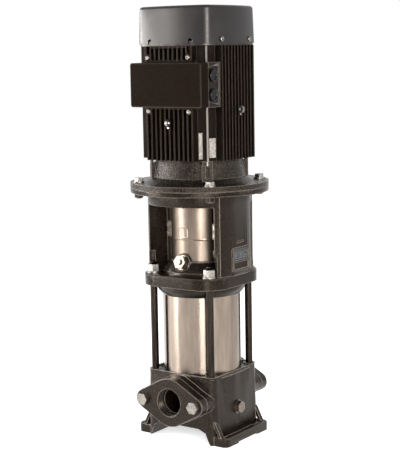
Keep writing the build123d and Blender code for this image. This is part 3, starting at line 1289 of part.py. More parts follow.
def box_outline(low, high):
    """Terminal box body seen from above: a flat box with an arm back past the housing's corner."""
    points = [(BOX_LEFT, -BOX_FRONT + LID_DEPTH), (BOX_RIGHT, -BOX_FRONT + LID_DEPTH), (BOX_RIGHT, -BOX_BACK),
              (BOX_ARM, -BOX_BACK), (BOX_ARM, -BOX_REAR + 6), (BOX_ARM - 6, -BOX_REAR), (BOX_LEFT, -BOX_REAR)]
    return Pos(0, 0, low) * extrude(Polygon(*points, align=None), high - low)


def make_box_base():
    """Cast terminal box body on the housing's pad, with the sunk gland panel on its side."""
    outer = box_outline(BOX_BOTTOM, BOX_TOP)
    outer = outer.chamfer(1.5, None, outer.edges().filter_by(Axis.Z).group_by(Axis.X)[-1])
    box = outer - gland_panel()
    half = FIN_HALF - 8
    box -= block((-half, half), (-BOX_FRONT, -BOX_REAR - BOX_WALL), (BOX_BOTTOM + 12, BOX_TOP - 12))
    for z in gland_heights():
        box -= rod_x(GLAND_RADIUS + SLIP, -GLAND_Y, z, BOX_RIGHT - GLAND_SUNK - GLAND_DEPTH, BOX_RIGHT + 1)
    for x, y, z in lid_screw_places():
        box -= rod_y(LID_SCREW + LOOSE, x, z, -BOX_FRONT, -y + 1)
        box -= rod_y(LID_SCREW_HEAD + LOOSE, x, z, -y, -y + LID_SCREW_SINK + 1)
    return box


def gland_panel():
    """Sunk panel of the cable entries, which grows taller towards the back."""
    front, back = -GLAND_OUTER, -GLAND_INNER
    corners_yz = [(front, BOX_BOTTOM + 13), (back, BOX_BOTTOM + 4), (back, BOX_TOP - 2), (front, BOX_TOP - 11)]
    side = make_face(Polyline(*[(0, y, z) for y, z in corners_yz], close=True))
    return Pos(BOX_RIGHT - GLAND_SUNK, 0, 0) * extrude(side, GLAND_SUNK + 1, dir=(1, 0, 0))


def gland_heights():
    """Heights of the two cable entries."""
    return (BOX_BOTTOM + GLAND_LOW, BOX_BOTTOM + GLAND_LOW + GLAND_PITCH)


def make_box_lid():
    """Deep terminal box lid with rounded edges, hollow behind."""
    lid = block((BOX_LEFT, BOX_RIGHT), (-BOX_FRONT, -BOX_FRONT + LID_DEPTH), (BOX_BOTTOM, BOX_TOP))
    lid = lid.fillet(LID_CORNER, lid.edges().filter_by(Axis.Y))
    lid = lid.fillet(LID_EDGE, lid.edges().group_by(Axis.Y)[0])
    lid -= block((BOX_LEFT + 10, BOX_RIGHT - 10), (-BOX_FRONT + BOX_WALL, -BOX_FRONT + LID_DEPTH + 1),
                 (BOX_BOTTOM + 10, BOX_TOP - 10))
    for x, y, z in lid_screw_places():
        lid -= rod_y(LID_SCREW + SLIP, x, z, -BOX_FRONT + LID_DEPTH - 15, -BOX_FRONT + LID_DEPTH + 1)
    return lid


def lid_screw_places():
    """The lid's four screws, which come from behind: X, distance of the head's seat from the axis, Z."""
    ends = ((BOX_LEFT + 6, BOX_REAR + LID_SCREW_SINK), (BOX_RIGHT - 6, BOX_BACK + LID_SCREW_SINK))
    return [(x, y, z) for x, y in ends for z in (BOX_BOTTOM + 6, BOX_TOP - 6)]


def make_lid_screws():
    """Cheese-head screws that pull the lid on from behind."""
    screws = []
    for x, y, z in lid_screw_places():
        head = rod_y(LID_SCREW_HEAD, x, z, -y, -y + 3)
        screws.append(head + rod_y(LID_SCREW, x, z, -BOX_FRONT + LID_DEPTH - 12, -y + 1))
    return screws


def make_gland_plugs():
    """Blind round plugs in the two cable entries, each with a hollow for a key."""
    face = BOX_RIGHT - GLAND_SUNK
    plugs = []
    for z in gland_heights():
        head = rod_x(GLAND_HEAD, -GLAND_Y, z, face, face + GLAND_PROUD)
        head = head.fillet(1.5, head.edges().group_by(Axis.X)[-1])
        head -= rod_x(GLAND_HEAD - 5, -GLAND_Y, z, face + GLAND_PROUD - 2, face + GLAND_PROUD + 1)
        plugs.append(head + rod_x(GLAND_RADIUS, -GLAND_Y, z, face - GLAND_DEPTH + 1, face + 1))
    return plugs


def make_terminal_board():
    """Terminal board behind the lid, with its six studs."""
    back = -BOX_REAR - BOX_WALL
    low = (BOX_BOTTOM + BOX_TOP) / 2 - 22
    board = block((-30, 30), (back - 8, back), (low, low + 44))
    studs = []
    for x in (-20, 0, 20):
        for z in (low + 11, low + 33):
            board -= rod_y(STUD + SLIP, x, z, back - 9, back + 1)
            studs.append(rod_y(STUD, x, z, back - 17, back) + rod_y(STUD + 1.7, x, z, back - 11.5, back - 8))
    return board, studs


def make_lugs():
    """Four small lifting lugs on studs, standing between the fins."""
    lugs = []
    low, high = HOUSING_BOTTOM + LUG_LOW, HOUSING_BOTTOM + LUG_HIGH
    for turn, z in ((-90, low), (0, high), (90, low), (180, high)):
        eye = Pos(FIN_TIP + 5, 0, z) * Rot(90, 0, 0) * Cylinder(LUG_RADIUS, LUG_THICK)
        eye += block((FIN_TIP, FIN_TIP + 5), (-LUG_THICK / 2, LUG_THICK / 2), (z - 12, z + 6))
        eye -= Pos(FIN_TIP + 6, 0, z) * Rot(90, 0, 0) * Cylinder(LUG_HOLE, LUG_THICK + 2)
        eye &= block((FIN_TIP, FIN_TIP + 30), (-10, 10), (z - 30, z + 30))
        lugs.append(Rot(0, 0, turn) * eye)
    return lugs


def make_all():
    """Write every sub-part."""
    save("base_casting", make_base())
    flange, gasket, bolts = make_port_flange(), make_port_gasket(), make_port_bolts()
    save("inlet_flange", flange)
    save("outlet_flange", Rot(0, 0, 180) * flange)
    save("port_gaskets", *both_ways(gasket))
    save("port_flange_bolts", *[turned_bolt for bolt in bolts for turned_bolt in both_ways(bolt)])
    plug, washer = make_drain_plug()
    save("drain_plug", plug)
    save("plug_washers", washer, make_vent_washer())
    save("outer_sleeve", make_sleeve())
    save("sleeve_orings", *make_sleeve_rings())
    bolts, washers, nuts = make_stay_bolts()
    save("stay_bolts", *bolts)
    save("stay_bolt_washers", *washers)
    save("stay_bolt_nuts", *nuts)
    save("pump_head", make_head())
    save("motor_stool", make_stool())
    save("vent_plug", make_vent_plug())
    save("vent_screw", make_vent_screw())
    guard, screws = make_guard(), make_guard_screws()
    save("coupling_guard_front", guard)
    save("coupling_guard_rear", Rot(0, 0, 180) * guard)
    save("guard_screws", *[shape for screw in screws for shape in both_ways(screw)])
    save("inlet_part", make_inlet_part())
    save("lower_bush", make_lower_bush())
    stages = range(STAGES)
    save("stage_chambers", *[make_chamber(k) for k in stages])
    save("neck_rings", *[make_neck_ring(k) for k in stages])
    save("guide_vanes", *[make_guide_vanes(k) for k in stages])
    save("impellers", *[make_impeller(k) for k in stages])
    save("impeller_spacers", *[make_spacer(k) for k in stages])
    save("outlet_part", make_outlet_part())
    save("stack_straps", *make_straps())
    save("pump_shaft", make_pump_shaft())
    plate, rotating = make_seal_parts()
    save("seal_plate", plate)
    save("seal_rotating_head", rotating)
    half = make_coupling_half()
    save("coupling_half_front", half)
    save("coupling_half_rear", Rot(0, 0, 180) * half)
    save("coupling_screws", *make_coupling_screws())
    save("coupling_pin", make_coupling_pin())
    save("drive_end_bracket", make_bracket())
    save("bracket_screws", *make_bracket_screws())
    bolts, washers, nuts = make_flange_bolts()
    save("motor_flange_bolts", *bolts)
    save("motor_flange_washers", *washers)
    save("motor_flange_nuts", *nuts)
    save("motor_housing", make_housing())
    core, windings = make_stator()
    save("stator_core", core)
    save("stator_windings", *windings)
    save("motor_shaft", make_motor_shaft())
    save("rotor_core", make_rotor_core())
    drive = bearing_rings(DRIVE_BORE, DRIVE_OUTER, DRIVE_WIDTH, drive_bearing_floor())
    fan_end = bearing_rings(FAN_BORE, FAN_OUTER, FAN_WIDTH, fan_bearing_floor())
    save("bearing_outer_rings", drive[0], fan_end[0])
    save("bearing_inner_rings", drive[1], fan_end[1])
    save("bearing_balls", *drive[2], *fan_end[2])
    save("fan_end_shield", make_shield())
    save("cooling_fan", make_fan())
    save("fan_cover", make_cover())
    save("fan_cover_screws", *make_cover_screws())
    save("terminal_box_base", make_box_base())
    save("terminal_box_lid", make_box_lid())
    save("lid_screws", *make_lid_screws())
    save("cable_entry_plugs", *make_gland_plugs())
    board, studs = make_terminal_board()
    save("terminal_board", board)
    save("terminal_studs", *studs)
    save("terminal_box_screws", *make_seat_screws())
    save("lifting_lugs", *make_lugs())


os.makedirs("parts", exist_ok=True)
make_all()
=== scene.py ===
import json

import bmesh
import bpy
import numpy as np
from mathutils import Matrix, Vector


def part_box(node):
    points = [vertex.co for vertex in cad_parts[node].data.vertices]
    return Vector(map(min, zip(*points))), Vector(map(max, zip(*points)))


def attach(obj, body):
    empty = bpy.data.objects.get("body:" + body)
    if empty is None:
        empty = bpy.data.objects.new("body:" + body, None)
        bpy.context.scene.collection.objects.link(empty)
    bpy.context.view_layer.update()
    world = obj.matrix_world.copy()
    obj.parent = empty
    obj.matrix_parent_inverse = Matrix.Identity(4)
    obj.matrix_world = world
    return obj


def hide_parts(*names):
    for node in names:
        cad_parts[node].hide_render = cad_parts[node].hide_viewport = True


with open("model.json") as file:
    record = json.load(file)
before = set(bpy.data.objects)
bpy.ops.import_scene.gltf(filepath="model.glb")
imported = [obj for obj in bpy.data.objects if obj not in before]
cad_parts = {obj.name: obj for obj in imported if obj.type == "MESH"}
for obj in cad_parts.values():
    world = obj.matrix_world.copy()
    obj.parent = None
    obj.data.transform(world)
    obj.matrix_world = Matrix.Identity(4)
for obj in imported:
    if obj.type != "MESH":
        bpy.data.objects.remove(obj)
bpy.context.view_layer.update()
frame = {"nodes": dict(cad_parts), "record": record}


# The view. A long lens stands to the right of the inlet, a little above the middle of the pump,
# tipped slightly down and rolled by one degree. It sees the pump from the inlet and drain plug sides.
EYE = (1.5582, -2.1895, 0.8408)
EYE_AZIMUTH, EYE_PITCH, EYE_ROLL = np.radians((35.45, 8.03, 1.01))
LENS, SENSOR, FARTHEST = 99.5, 36.0, 100.0

right = np.array((np.cos(EYE_AZIMUTH), np.sin(EYE_AZIMUTH), 0.0))
toward = np.array((np.sin(EYE_AZIMUTH), -np.cos(EYE_AZIMUTH), 0.0))
up = np.array((0.0, 0.0, 1.0))
ahead = -toward * np.cos(EYE_PITCH) - up * np.sin(EYE_PITCH)
above = -toward * np.sin(EYE_PITCH) + up * np.cos(EYE_PITCH)
side_axis = right * np.cos(EYE_ROLL) - above * np.sin(EYE_ROLL)
up_axis = right * np.sin(EYE_ROLL) + above * np.cos(EYE_ROLL)

camera = bpy.data.objects.new("camera", bpy.data.cameras.new("camera"))
bpy.context.scene.collection.objects.link(camera)
camera.data.lens = LENS
camera.data.sensor_width = SENSOR
camera.data.clip_end = FARTHEST
facing = Matrix(np.array((side_axis, up_axis, -ahead)).T.tolist())
camera.matrix_world = Matrix.Translation(EYE) @ facing.to_4x4()
bpy.context.scene.camera = camera
bpy.context.scene.view_settings.view_transform = "Standard"


# The studio. Soft boxes stand left and right of the lens, a weak one far to the right, in a white room on
# white paper. Both are white to the eye and in reflections, and light the pump at a plain level.
ROOM_LIGHT, FLOOR_GLOW = 0.42, 0.62
FLOOR_HALF = 30.0
LIT_POINT = Vector((0.0, 0.0, 0.5))
# For each box: azimuth round the pump from the inlet towards the drain plug, distance from the pump's axis,
# height of its middle, its width, how tall it is, and its watts
SOFT_BOXES = {
    "left_box": (-63.0, 2.2, 0.75, 0.19, 2.4, 82.0),
    "left_sheen_box": (-38.0, 2.3, 1.20, 0.60, 1.0, 22.0),
    "front_box": (47.0, 2.9, 0.75, 0.38, 2.6, 88.0),
    "corner_box": (64.0, 2.7, 1.15, 0.55, 1.2, 36.0),
    "right_box": (107.0, 2.4, 0.60, 0.14, 1.6, 11.0),
}


def linear(code):
    """An sRGB hex colour as linear red, green, blue and alpha."""
    shares = np.array([int(code[k:k + 2], 16) / 255 for k in (1, 3, 5)])
    low = shares <= 0.04045
    return [*np.where(low, shares / 12.92, ((shares + 0.055) / 1.055) ** 2.4), 1.0]


def add_node(tree, kind, settings=None, links=None):
    """One shader node, with values for its settings or sockets, and its sockets' links to other nodes."""
    node = tree.nodes.new(kind)
    for name, value in (settings or {}).items():
        if isinstance(name, str) and hasattr(node, name):
            setattr(node, name, value)
        else:
            node.inputs[name].default_value = value
    for name, (source, output) in (links or {}).items():
        tree.links.new(source.outputs[output], node.inputs[name])
    return node


def rays_to_the_eye(tree):
    """1 for rays to the eye, straight, off a mirror or through glass, and 0 for rays that light the pump."""
    rays = add_node(tree, "ShaderNodeLightPath")
    straight = add_node(tree, "ShaderNodeMath", {"operation": "MAXIMUM"},
                        {0: (rays, "Is Camera Ray"), 1: (rays, "Is Glossy Ray")})
    return add_node(tree, "ShaderNodeMath", {"operation": "MAXIMUM"},
                    {0: (straight, 0), 1: (rays, "Is Transmission Ray")})


room = bpy.data.worlds.new("white_room")
bpy.context.scene.world = room
room.use_nodes = True
room.node_tree.nodes.clear()
plain = add_node(room.node_tree, "ShaderNodeBackground",
                 {"Color": linear("#ffffff"), "Strength": ROOM_LIGHT})
white = add_node(room.node_tree, "ShaderNodeBackground", {"Color": linear("#ffffff"), "Strength": 1.0})
walls = add_node(room.node_tree, "ShaderNodeMixShader", None,
                 {0: (rays_to_the_eye(room.node_tree), 0), 1: (plain, 0), 2: (white, 0)})
add_node(room.node_tree, "ShaderNodeOutputWorld", None, {"Surface": (walls, 0)})

floor_mesh = bpy.data.meshes.new("floor")
floor_corners = [(FLOOR_HALF * x, FLOOR_HALF * y, 0.0) for x, y in ((-1, -1), (1, -1), (1, 1), (-1, 1))]
floor_mesh.from_pydata(floor_corners, [], [(0, 1, 2, 3)])
floor = bpy.data.objects.new("floor", floor_mesh)
bpy.context.scene.collection.objects.link(floor)
paper = bpy.data.materials.new("white_seamless_paper")
paper.use_nodes = True
paper.node_tree.nodes.clear()
matt = add_node(paper.node_tree, "ShaderNodeBsdfDiffuse", {"Color": linear("#f4f4f4")})
glow = add_node(paper.node_tree, "ShaderNodeEmission", {"Color": linear("#ffffff"), "Strength": FLOOR_GLOW})
lit = add_node(paper.node_tree, "ShaderNodeAddShader", None, {0: (matt, 0), 1: (glow, 0)})
seen = add_node(paper.node_tree, "ShaderNodeMixShader", None,
                {0: (rays_to_the_eye(paper.node_tree), 0), 1: (matt, 0), 2: (lit, 0)})
add_node(paper.node_tree, "ShaderNodeOutputMaterial", None, {"Surface": (seen, 0)})
floor_mesh.materials.append(paper)

for name, (azimuth, distance, height, wide, tall, watts) in SOFT_BOXES.items():
    lamp = bpy.data.lights.new(name, "AREA")
    lamp.shape = "RECTANGLE"
    lamp.size, lamp.size_y, lamp.energy = wide, tall, watts
    box = bpy.data.objects.new(name, lamp)
    bpy.context.scene.collection.objects.link(box)
    bearing = np.radians(azimuth)
    stand = Vector((np.sin(bearing) * distance, -np.cos(bearing) * distance, height))
    aim = (LIT_POINT - stand).to_track_quat("-Z", "Z")
    box.matrix_world = Matrix.Translation(stand) @ aim.to_matrix().to_4x4()


# The base casting. Grey iron poured in sand: feet, inlet and outlet necks, and the well under the stages. It
# is machined on its seats only, and painted black. Shapes are in metres here, and finishes in millimetres.
MM_IN_METRE = 1000.0
# Oil and dust on the paint make its reflections slightly warm
SHEEN_TINT = "#f0dcc8"
# Places of a Mix node's two colours and of its mixed colour, whose names repeat
MIX_FIRST, MIX_SECOND, MIX_RESULT = 6, 7, 2
MERGED_WITHIN, FLAT_WITHIN, SHARP_FROM = 2e-6, np.radians(0.25), np.radians(32)

body_names = {node: body for body, nodes in frame["record"]["behaviour"]["bodies"].items() for node in nodes}


def new_material(name, constants):
    """A material by name, with its shader's constants set; gives the material, its nodes and the shader."""
    material = bpy.data.materials.new(name)
    material.use_nodes = True
    shader = material.node_tree.nodes["Principled BSDF"]
    for socket, value in constants.items():
        shader.inputs[socket].default_value = value
    return material, material.node_tree, shader


def painted_metal(name, tones, edge, patch, grain, depth, rounding, shine, level, glint_specks=0.0,
                  tint=SHEEN_TINT):
    """Paint on cast or pressed metal. Its colour wanders between two tones over patches. It takes the edge's
    colour where the surface turns within the rounding, in inside corners too: part worn paint and part
    painted highlight. The grain's highest points take it too, by their share, as painted glints. The grain
    dimples it to a depth, and shine gives its two roughnesses."""
    material, tree, shader = new_material(name, {"Specular IOR Level": level, "Specular Tint": linear(tint)})
    here = {"Vector": (add_node(tree, "ShaderNodeTexCoord"), "Object")}
    patches = add_node(tree, "ShaderNodeTexNoise",
                       {"Scale": MM_IN_METRE / patch, "Detail": 4.0, "Roughness": 0.6}, here)
    grains = add_node(tree, "ShaderNodeTexNoise",
                      {"Scale": MM_IN_METRE / grain, "Detail": 2.0, "Roughness": 0.55}, here)
    tone = add_node(tree, "ShaderNodeMix",
                    {"data_type": "RGBA", MIX_FIRST: linear(tones[0]), MIX_SECOND: linear(tones[1])},
                    {"Factor": (patches, 0)})
    # The edge's colour, part worn paint and part painted highlight, starts where the surface turns by
    # 6 degrees, a cosine of 0.995, and mostly covers it at 26, one of 0.90. Noise lies mostly between 0.3
    # and 0.7, and the painted glints are the upper part of the grain's.
    turn = add_node(tree, "ShaderNodeBevel", {"samples": 4, "Radius": rounding / MM_IN_METRE})
    flat = add_node(tree, "ShaderNodeNewGeometry")
    match = add_node(tree, "ShaderNodeVectorMath", {"operation": "DOT_PRODUCT"},
                     {0: (turn, "Normal"), 1: (flat, "Normal")})
    edge_wear_and_highlight = add_node(tree, "ShaderNodeMapRange", {"From Min": 0.995, "From Max": 0.90, "To Max": 0.80},
                      {"Value": (match, "Value")})
    painted_glints = add_node(tree, "ShaderNodeMapRange", {"From Min": 0.50, "From Max": 0.72, "To Max": glint_specks},
                     {"Value": (grains, 0)})
    wear_and_painted_light = add_node(tree, "ShaderNodeMath", {"operation": "MAXIMUM"}, {0: (edge_wear_and_highlight, 0), 1: (painted_glints, 0)})
    colour = add_node(tree, "ShaderNodeMix", {"data_type": "RGBA", MIX_SECOND: linear(edge)},
                      {"Factor": (wear_and_painted_light, 0), MIX_FIRST: (tone, MIX_RESULT)})
    rough = add_node(tree, "ShaderNodeMapRange",
                     {"From Min": 0.35, "From Max": 0.65, "To Min": shine[0], "To Max": shine[1]},
                     {"Value": (patches, 0)})
    dimples = add_node(tree, "ShaderNodeBump", {"Strength": 1.0, "Distance": depth / MM_IN_METRE},
                       {"Height": (grains, 0), "Normal": (turn, "Normal")})
    tree.links.new(colour.outputs[MIX_RESULT], shader.inputs["Base Color"])
    tree.links.new(rough.outputs[0], shader.inputs["Roughness"])
    tree.links.new(dimples.outputs[0], shader.inputs["Normal"])
    return material


def stand_for(piece, node):
    """The piece rides on the body of the CAD node that it stands for, and that node is hidden."""
    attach(piece, body_names[node])
    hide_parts(node)


def place_piece(name, mesh, material):
    """A mesh with its material, as an object at the origin."""
    mesh.materials.clear()
    mesh.materials.append(material)
    piece = bpy.data.objects.new(name, mesh)
    bpy.context.scene.collection.objects.link(piece)
    return piece


def rounded_copy(node, width, material):
    """A copy of a CAD node with its triangles merged and its flat sides joined. Its sharp edges are
    rounded to the width in millimetres, and the rest are shaded smooth."""
    work = bmesh.new()
    work.from_mesh(frame["nodes"][node].data)
    bmesh.ops.remove_doubles(work, verts=work.verts, dist=MERGED_WITHIN)
    bmesh.ops.dissolve_limit(work, angle_limit=FLAT_WITHIN, verts=work.verts, edges=work.edges)
    mesh = bpy.data.meshes.new(node + "_finished")
    work.to_mesh(mesh)
    work.free()
    mesh.shade_smooth()
    mesh.set_sharp_from_angle(angle=SHARP_FROM)
    piece = place_piece(node + "_finished", mesh, material)
    if width:
        bevel = piece.modifiers.new("rounded_edges", "BEVEL")
        bevel.width, bevel.segments = width / MM_IN_METRE, 2
        bevel.limit_method, bevel.angle_limit = "ANGLE", SHARP_FROM
        bevel.use_clamp_overlap = True
        bevel.harden_normals = True
    stand_for(piece, node)


# Black paint on sand-cast grey iron: brown-black and half glossy, with pale edges, part rubbed paint and
# part painted highlight. Moulding sand is finer than a pixel, so its grain is drawn at 1.9 mm.
sand_cast_iron = painted_metal("black_paint_on_sand_cast_iron", tones=("#050302", "#17110c"), edge="#a3978a",
                               patch=14.0, grain=1.9, depth=0.48, rounding=2.2, shine=(0.10, 0.22),
                               level=0.23, glint_specks=0.06)
rounded_copy("base_casting", 0.8, sand_cast_iron)


# The two port flanges. Ovals of the same iron, bolted to the base's necks over flat gaskets, with a pipe
# thread of two inches cut in each bore. Its crests stand in from the bore's wall.
PORT_BORE, LEAD_IN, THREAD_SEAT = 0.0298, 0.0012, 0.0006
THREAD_PITCH, THREAD_DEPTH = 0.002309, 0.0014
THREAD_STEPS, THREAD_ROWS = 96, 10
WELDED_WITHIN, CREASE_FROM = 1e-6, np.radians(40)


def woven(rows, columns, wrap_rows=False, wrap_columns=True):
    """Quads between neighbouring points of a grid, row by row. A wrapped side joins its last line to its
    first one."""
    row = np.arange(rows if wrap_rows else rows - 1)[:, None]
    column = np.arange(columns if wrap_columns else columns - 1)[None, :]
    next_row, next_column = (row + 1) % rows, (column + 1) % columns
    corners = [row * columns + column, next_row * columns + column,
               next_row * columns + next_column, row * columns + next_column]
    return np.stack([corner.ravel() for corner in np.broadcast_arrays(*corners)], 1)


def stacked(x, y, z):
    """A grid's points from three coordinates, each of which may vary along its rows, its columns or both."""
    return np.stack(np.broadcast_arrays(x, y, z), -1)


def surface_mesh(name, sheets):
    """One mesh of several sheets, each with its points and quads. Doubled points at poles and seams are
    merged, and the faces of a closed sheet are turned outwards."""
    starts = np.cumsum([0] + [len(points.reshape(-1, 3)) for points, quads in sheets])
    points = np.concatenate([points.reshape(-1, 3) for points, quads in sheets])
    quads = np.concatenate([quads + start for (_, quads), start in zip(sheets, starts)])
    mesh = bpy.data.meshes.new(name)
    mesh.from_pydata(points.tolist(), [], quads.tolist())
    work = bmesh.new()
    work.from_mesh(mesh)
    bmesh.ops.remove_doubles(work, verts=work.verts, dist=WELDED_WITHIN)
    bmesh.ops.recalc_face_normals(work, faces=work.faces)
    work.to_mesh(mesh)
    work.free()
    mesh.shade_smooth()
    mesh.set_sharp_from_angle(angle=CREASE_FROM)
    return mesh


def thread_wave(turns):
    """Height of a V thread, from 0 in its root to 1 on its crest, after so many turns: a triangle wave."""
    return 1 - np.abs(2 * (turns % 1) - 1)


def bore_thread(low, high, middle):
    """A tube along Y at the middle's height, with a pipe thread on its inner wall, whose radius is bore -
    depth * wave(y / pitch - angle / turn). Its outer wall lies in the flange."""
    angle = np.linspace(0, 2 * np.pi, THREAD_STEPS, endpoint=False)[None, :]
    count = int((high - low) / THREAD_PITCH * THREAD_ROWS)
    along = np.linspace(low, high, count)[:, None]
    fade = np.clip(np.minimum(along - low, high - along) / THREAD_PITCH, 0, 1)
    inner = PORT_BORE - THREAD_DEPTH * fade * thread_wave(along / THREAD_PITCH - angle / (2 * np.pi))
    outer = np.full((2, THREAD_STEPS), PORT_BORE + THREAD_SEAT)
    radius = np.concatenate([inner, outer])
    y = np.concatenate([along, [[high], [low]]])
    points = stacked(radius * np.cos(angle), y, middle + radius * np.sin(angle))
    return points, woven(len(radius), THREAD_STEPS, wrap_rows=True)


# Cut iron in the bore, a little darker than the flange's paint as painted shade in the bore, with a soft
# shine and only a faint painted highlight on its edges and the thread's crests.
cut_thread_iron = painted_metal("cut_thread_in_cast_iron", tones=("#040302", "#0f0c0a"), edge="#2b2622",
                                patch=6.0, grain=1.2, depth=0.06, rounding=0.3, shine=(0.22, 0.34),
                                level=0.30)
for port in ("inlet_flange", "outlet_flange"):
    rounded_copy(port, 0.8, sand_cast_iron)
for port in ("inlet_flange", "outlet_flange"):
    low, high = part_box(port)
    tube = bore_thread(low.y + LEAD_IN, high.y - LEAD_IN, (low.z + high.z) / 2)
    thread = place_piece(port + "_thread", surface_mesh(port + "_thread", [tube]), cut_thread_iron)
    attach(thread, body_names[port])


# Gaskets and O-rings. Nitrile rubber pressed in moulds: flat rings under the port flanges, and round ones
# in grooves at the sleeve's two ends. Only their rims show.
def moulded(name, tones, grain, depth, shine, level):
    """A moulded rubber or plastic: two near tones over a fine grain, which also dimples the surface."""
    material, tree, shader = new_material(name, {"Specular IOR Level": level})
    here = {"Vector": (add_node(tree, "ShaderNodeTexCoord"), "Object")}
    grains = add_node(tree, "ShaderNodeTexNoise", {"Scale": MM_IN_METRE / grain, "Detail": 3.0}, here)
    tone = add_node(tree, "ShaderNodeMix",
                    {"data_type": "RGBA", MIX_FIRST: linear(tones[0]), MIX_SECOND: linear(tones[1])},
                    {"Factor": (grains, 0)})
    rough = add_node(tree, "ShaderNodeMapRange",
                     {"From Min": 0.3, "From Max": 0.7, "To Min": shine[0], "To Max": shine[1]},
                     {"Value": (grains, 0)})
    dimples = add_node(tree, "ShaderNodeBump", {"Strength": 1.0, "Distance": depth / MM_IN_METRE},
                       {"Height": (grains, 0)})
    tree.links.new(tone.outputs[MIX_RESULT], shader.inputs["Base Color"])
    tree.links.new(rough.outputs[0], shader.inputs["Roughness"])
    tree.links.new(dimples.outputs[0], shader.inputs["Normal"])
    return material


def dress(material, *nodes):
    """These CAD nodes keep their shape and take the material."""
    for node in nodes:
        for place in frame["nodes"][node].material_slots:
            place.material = material


# Moulded nitrile rubber: matt near-black. Its grain is far finer, and is drawn at 1.2 mm so that it shows.
nitrile_rubber = moulded("moulded_nitrile_rubber", tones=("#101010", "#1c1b1a"), grain=1.2, depth=0.04,
                         shine=(0.6, 0.8), level=0.35)
dress(nitrile_rubber, "port_gaskets", "sleeve_orings", "lower_bush", "neck_rings")


# The outer sleeve. Stainless tube, rolled from sheet, welded along the back and turned in a little at both
# ends, held between the base and the head by the stay bolts. Polished round, so its shines run up it.
SLEEVE_STEPS, SLEEVE_WALL = 256, 0.0015
END_TURN, END_LONG, END_ROWS, WALL_ROWS = 0.0006, 0.004, 7, 24
WELD_AZIMUTH, WELD_HALF, WELD_PROUD = 165.0, 0.0022, 0.00018
EVEN = (1.0, 1.0, 1.0)


def bare_metal(name, tones, patch, scratch, depth, shine, patch_stretch=EVEN, scratch_stretch=EVEN):
    """Uncoated metal: two near tones over patches, and scratches of one spacing and depth, with shine for
    its two roughnesses. A small stretch along X, Y or Z draws the patches or scratches out that way."""
    material, tree, shader = new_material(name, {"Metallic": 1.0})
    here = {"Vector": (add_node(tree, "ShaderNodeTexCoord"), "Object")}
    drawn = add_node(tree, "ShaderNodeMapping", {"Scale": patch_stretch}, here)
    along = add_node(tree, "ShaderNodeMapping", {"Scale": scratch_stretch}, here)
    patches = add_node(tree, "ShaderNodeTexNoise",
                       {"Scale": MM_IN_METRE / patch, "Detail": 5.0, "Roughness": 0.65},
                       {"Vector": (drawn, 0)})
    lines = add_node(tree, "ShaderNodeTexNoise", {"Scale": MM_IN_METRE / scratch, "Detail": 2.0},
                     {"Vector": (along, 0)})
    spread = add_node(tree, "ShaderNodeMapRange", {"From Min": 0.32, "From Max": 0.68},
                      {"Value": (patches, 0)})
    tone = add_node(tree, "ShaderNodeMix",
                    {"data_type": "RGBA", MIX_FIRST: linear(tones[0]), MIX_SECOND: linear(tones[1])},
                    {"Factor": (spread, 0)})
    rough = add_node(tree, "ShaderNodeMapRange",
                     {"From Min": 0.3, "From Max": 0.7, "To Min": shine[0], "To Max": shine[1]},
                     {"Value": (lines, 0)})
    cuts = add_node(tree, "ShaderNodeBump", {"Strength": 1.0, "Distance": depth / MM_IN_METRE},
                    {"Height": (lines, 0)})
    tree.links.new(tone.outputs[MIX_RESULT], shader.inputs["Base Color"])
    tree.links.new(rough.outputs[0], shader.inputs["Roughness"])
    tree.links.new(cuts.outputs[0], shader.inputs["Normal"])
    return material


def sleeve_surface():
    """The wall's closed section carried round Z. Its outer side turns in at each end by 1 - sin, and the
    radius rises over the weld by a bell curve of the distance from it."""
    low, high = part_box("outer_sleeve")
    radius, tall = high.x, high.z - low.z
    rise = np.concatenate([np.linspace(0, END_LONG, END_ROWS),
                           np.linspace(2 * END_LONG, tall - 2 * END_LONG, WALL_ROWS),
                           np.linspace(tall - END_LONG, tall, END_ROWS)])
    from_end = np.clip(np.minimum(rise, tall - rise) / END_LONG, 0, 1)
    outer = radius - END_TURN * (1 - np.sin(from_end * np.pi / 2))
    inner = np.full_like(outer, radius - SLEEVE_WALL)
    section = np.concatenate([outer, inner])[:, None]
    height = low.z + np.concatenate([rise, rise[::-1]])[:, None]
    angle = np.linspace(0, 2 * np.pi, SLEEVE_STEPS, endpoint=False)[None, :]
    from_weld = np.angle(np.exp(1j * (angle - np.radians(WELD_AZIMUTH - 90)))) * radius
    ring = section - WELD_PROUD + WELD_PROUD * np.exp(-(from_weld / WELD_HALF) ** 2)
    points = stacked(ring * np.cos(angle), ring * np.sin(angle), height)
    return points, woven(len(section), SLEEVE_STEPS, wrap_rows=True)


# Stainless steel, 1.4301, polished round: warm grey. The grinding lines, drawn at 1.2 mm so that they show,
# spread each shine up and down the tube and leave it narrow across.
polished_stainless = bare_metal("polished_stainless_tube", tones=("#776b61", "#8b7f74"), patch=12.0,
                                scratch=1.2, depth=0.008, shine=(0.21, 0.25),
                                patch_stretch=(1.0, 1.0, 0.12), scratch_stretch=(0.04, 0.04, 1.0))
polish = polished_stainless.node_tree
round_it = add_node(polish, "ShaderNodeTangent", {"direction_type": "RADIAL", "axis": "Z"})
polish.links.new(round_it.outputs[0], polish.nodes["Principled BSDF"].inputs["Tangent"])
polish.nodes["Principled BSDF"].inputs["Anisotropic"].default_value = 0.9
polish.nodes["Principled BSDF"].inputs["Anisotropic Rotation"].default_value = 0.25
sleeve_mesh = surface_mesh("outer_sleeve_polished", [sleeve_surface()])
stand_for(place_piece("outer_sleeve_polished", sleeve_mesh, polished_stainless), "outer_sleeve")


# The four stay bolts. Round steel bars with rolled M16 threads at their upper ends, screwed into the base
# and drawn tight by nuts on the stool's plate.
STAY_STEPS, SHANK_ROWS, PITCH_ROWS = 48, 12, 12
M16_RADIUS, M16_PITCH, M16_DEPTH, M16_THREAD = 0.008, 0.002, 0.00122, 0.026
STAY_CHAMFER, STAY_TIP = 0.0014, 0.4 * M16_DEPTH


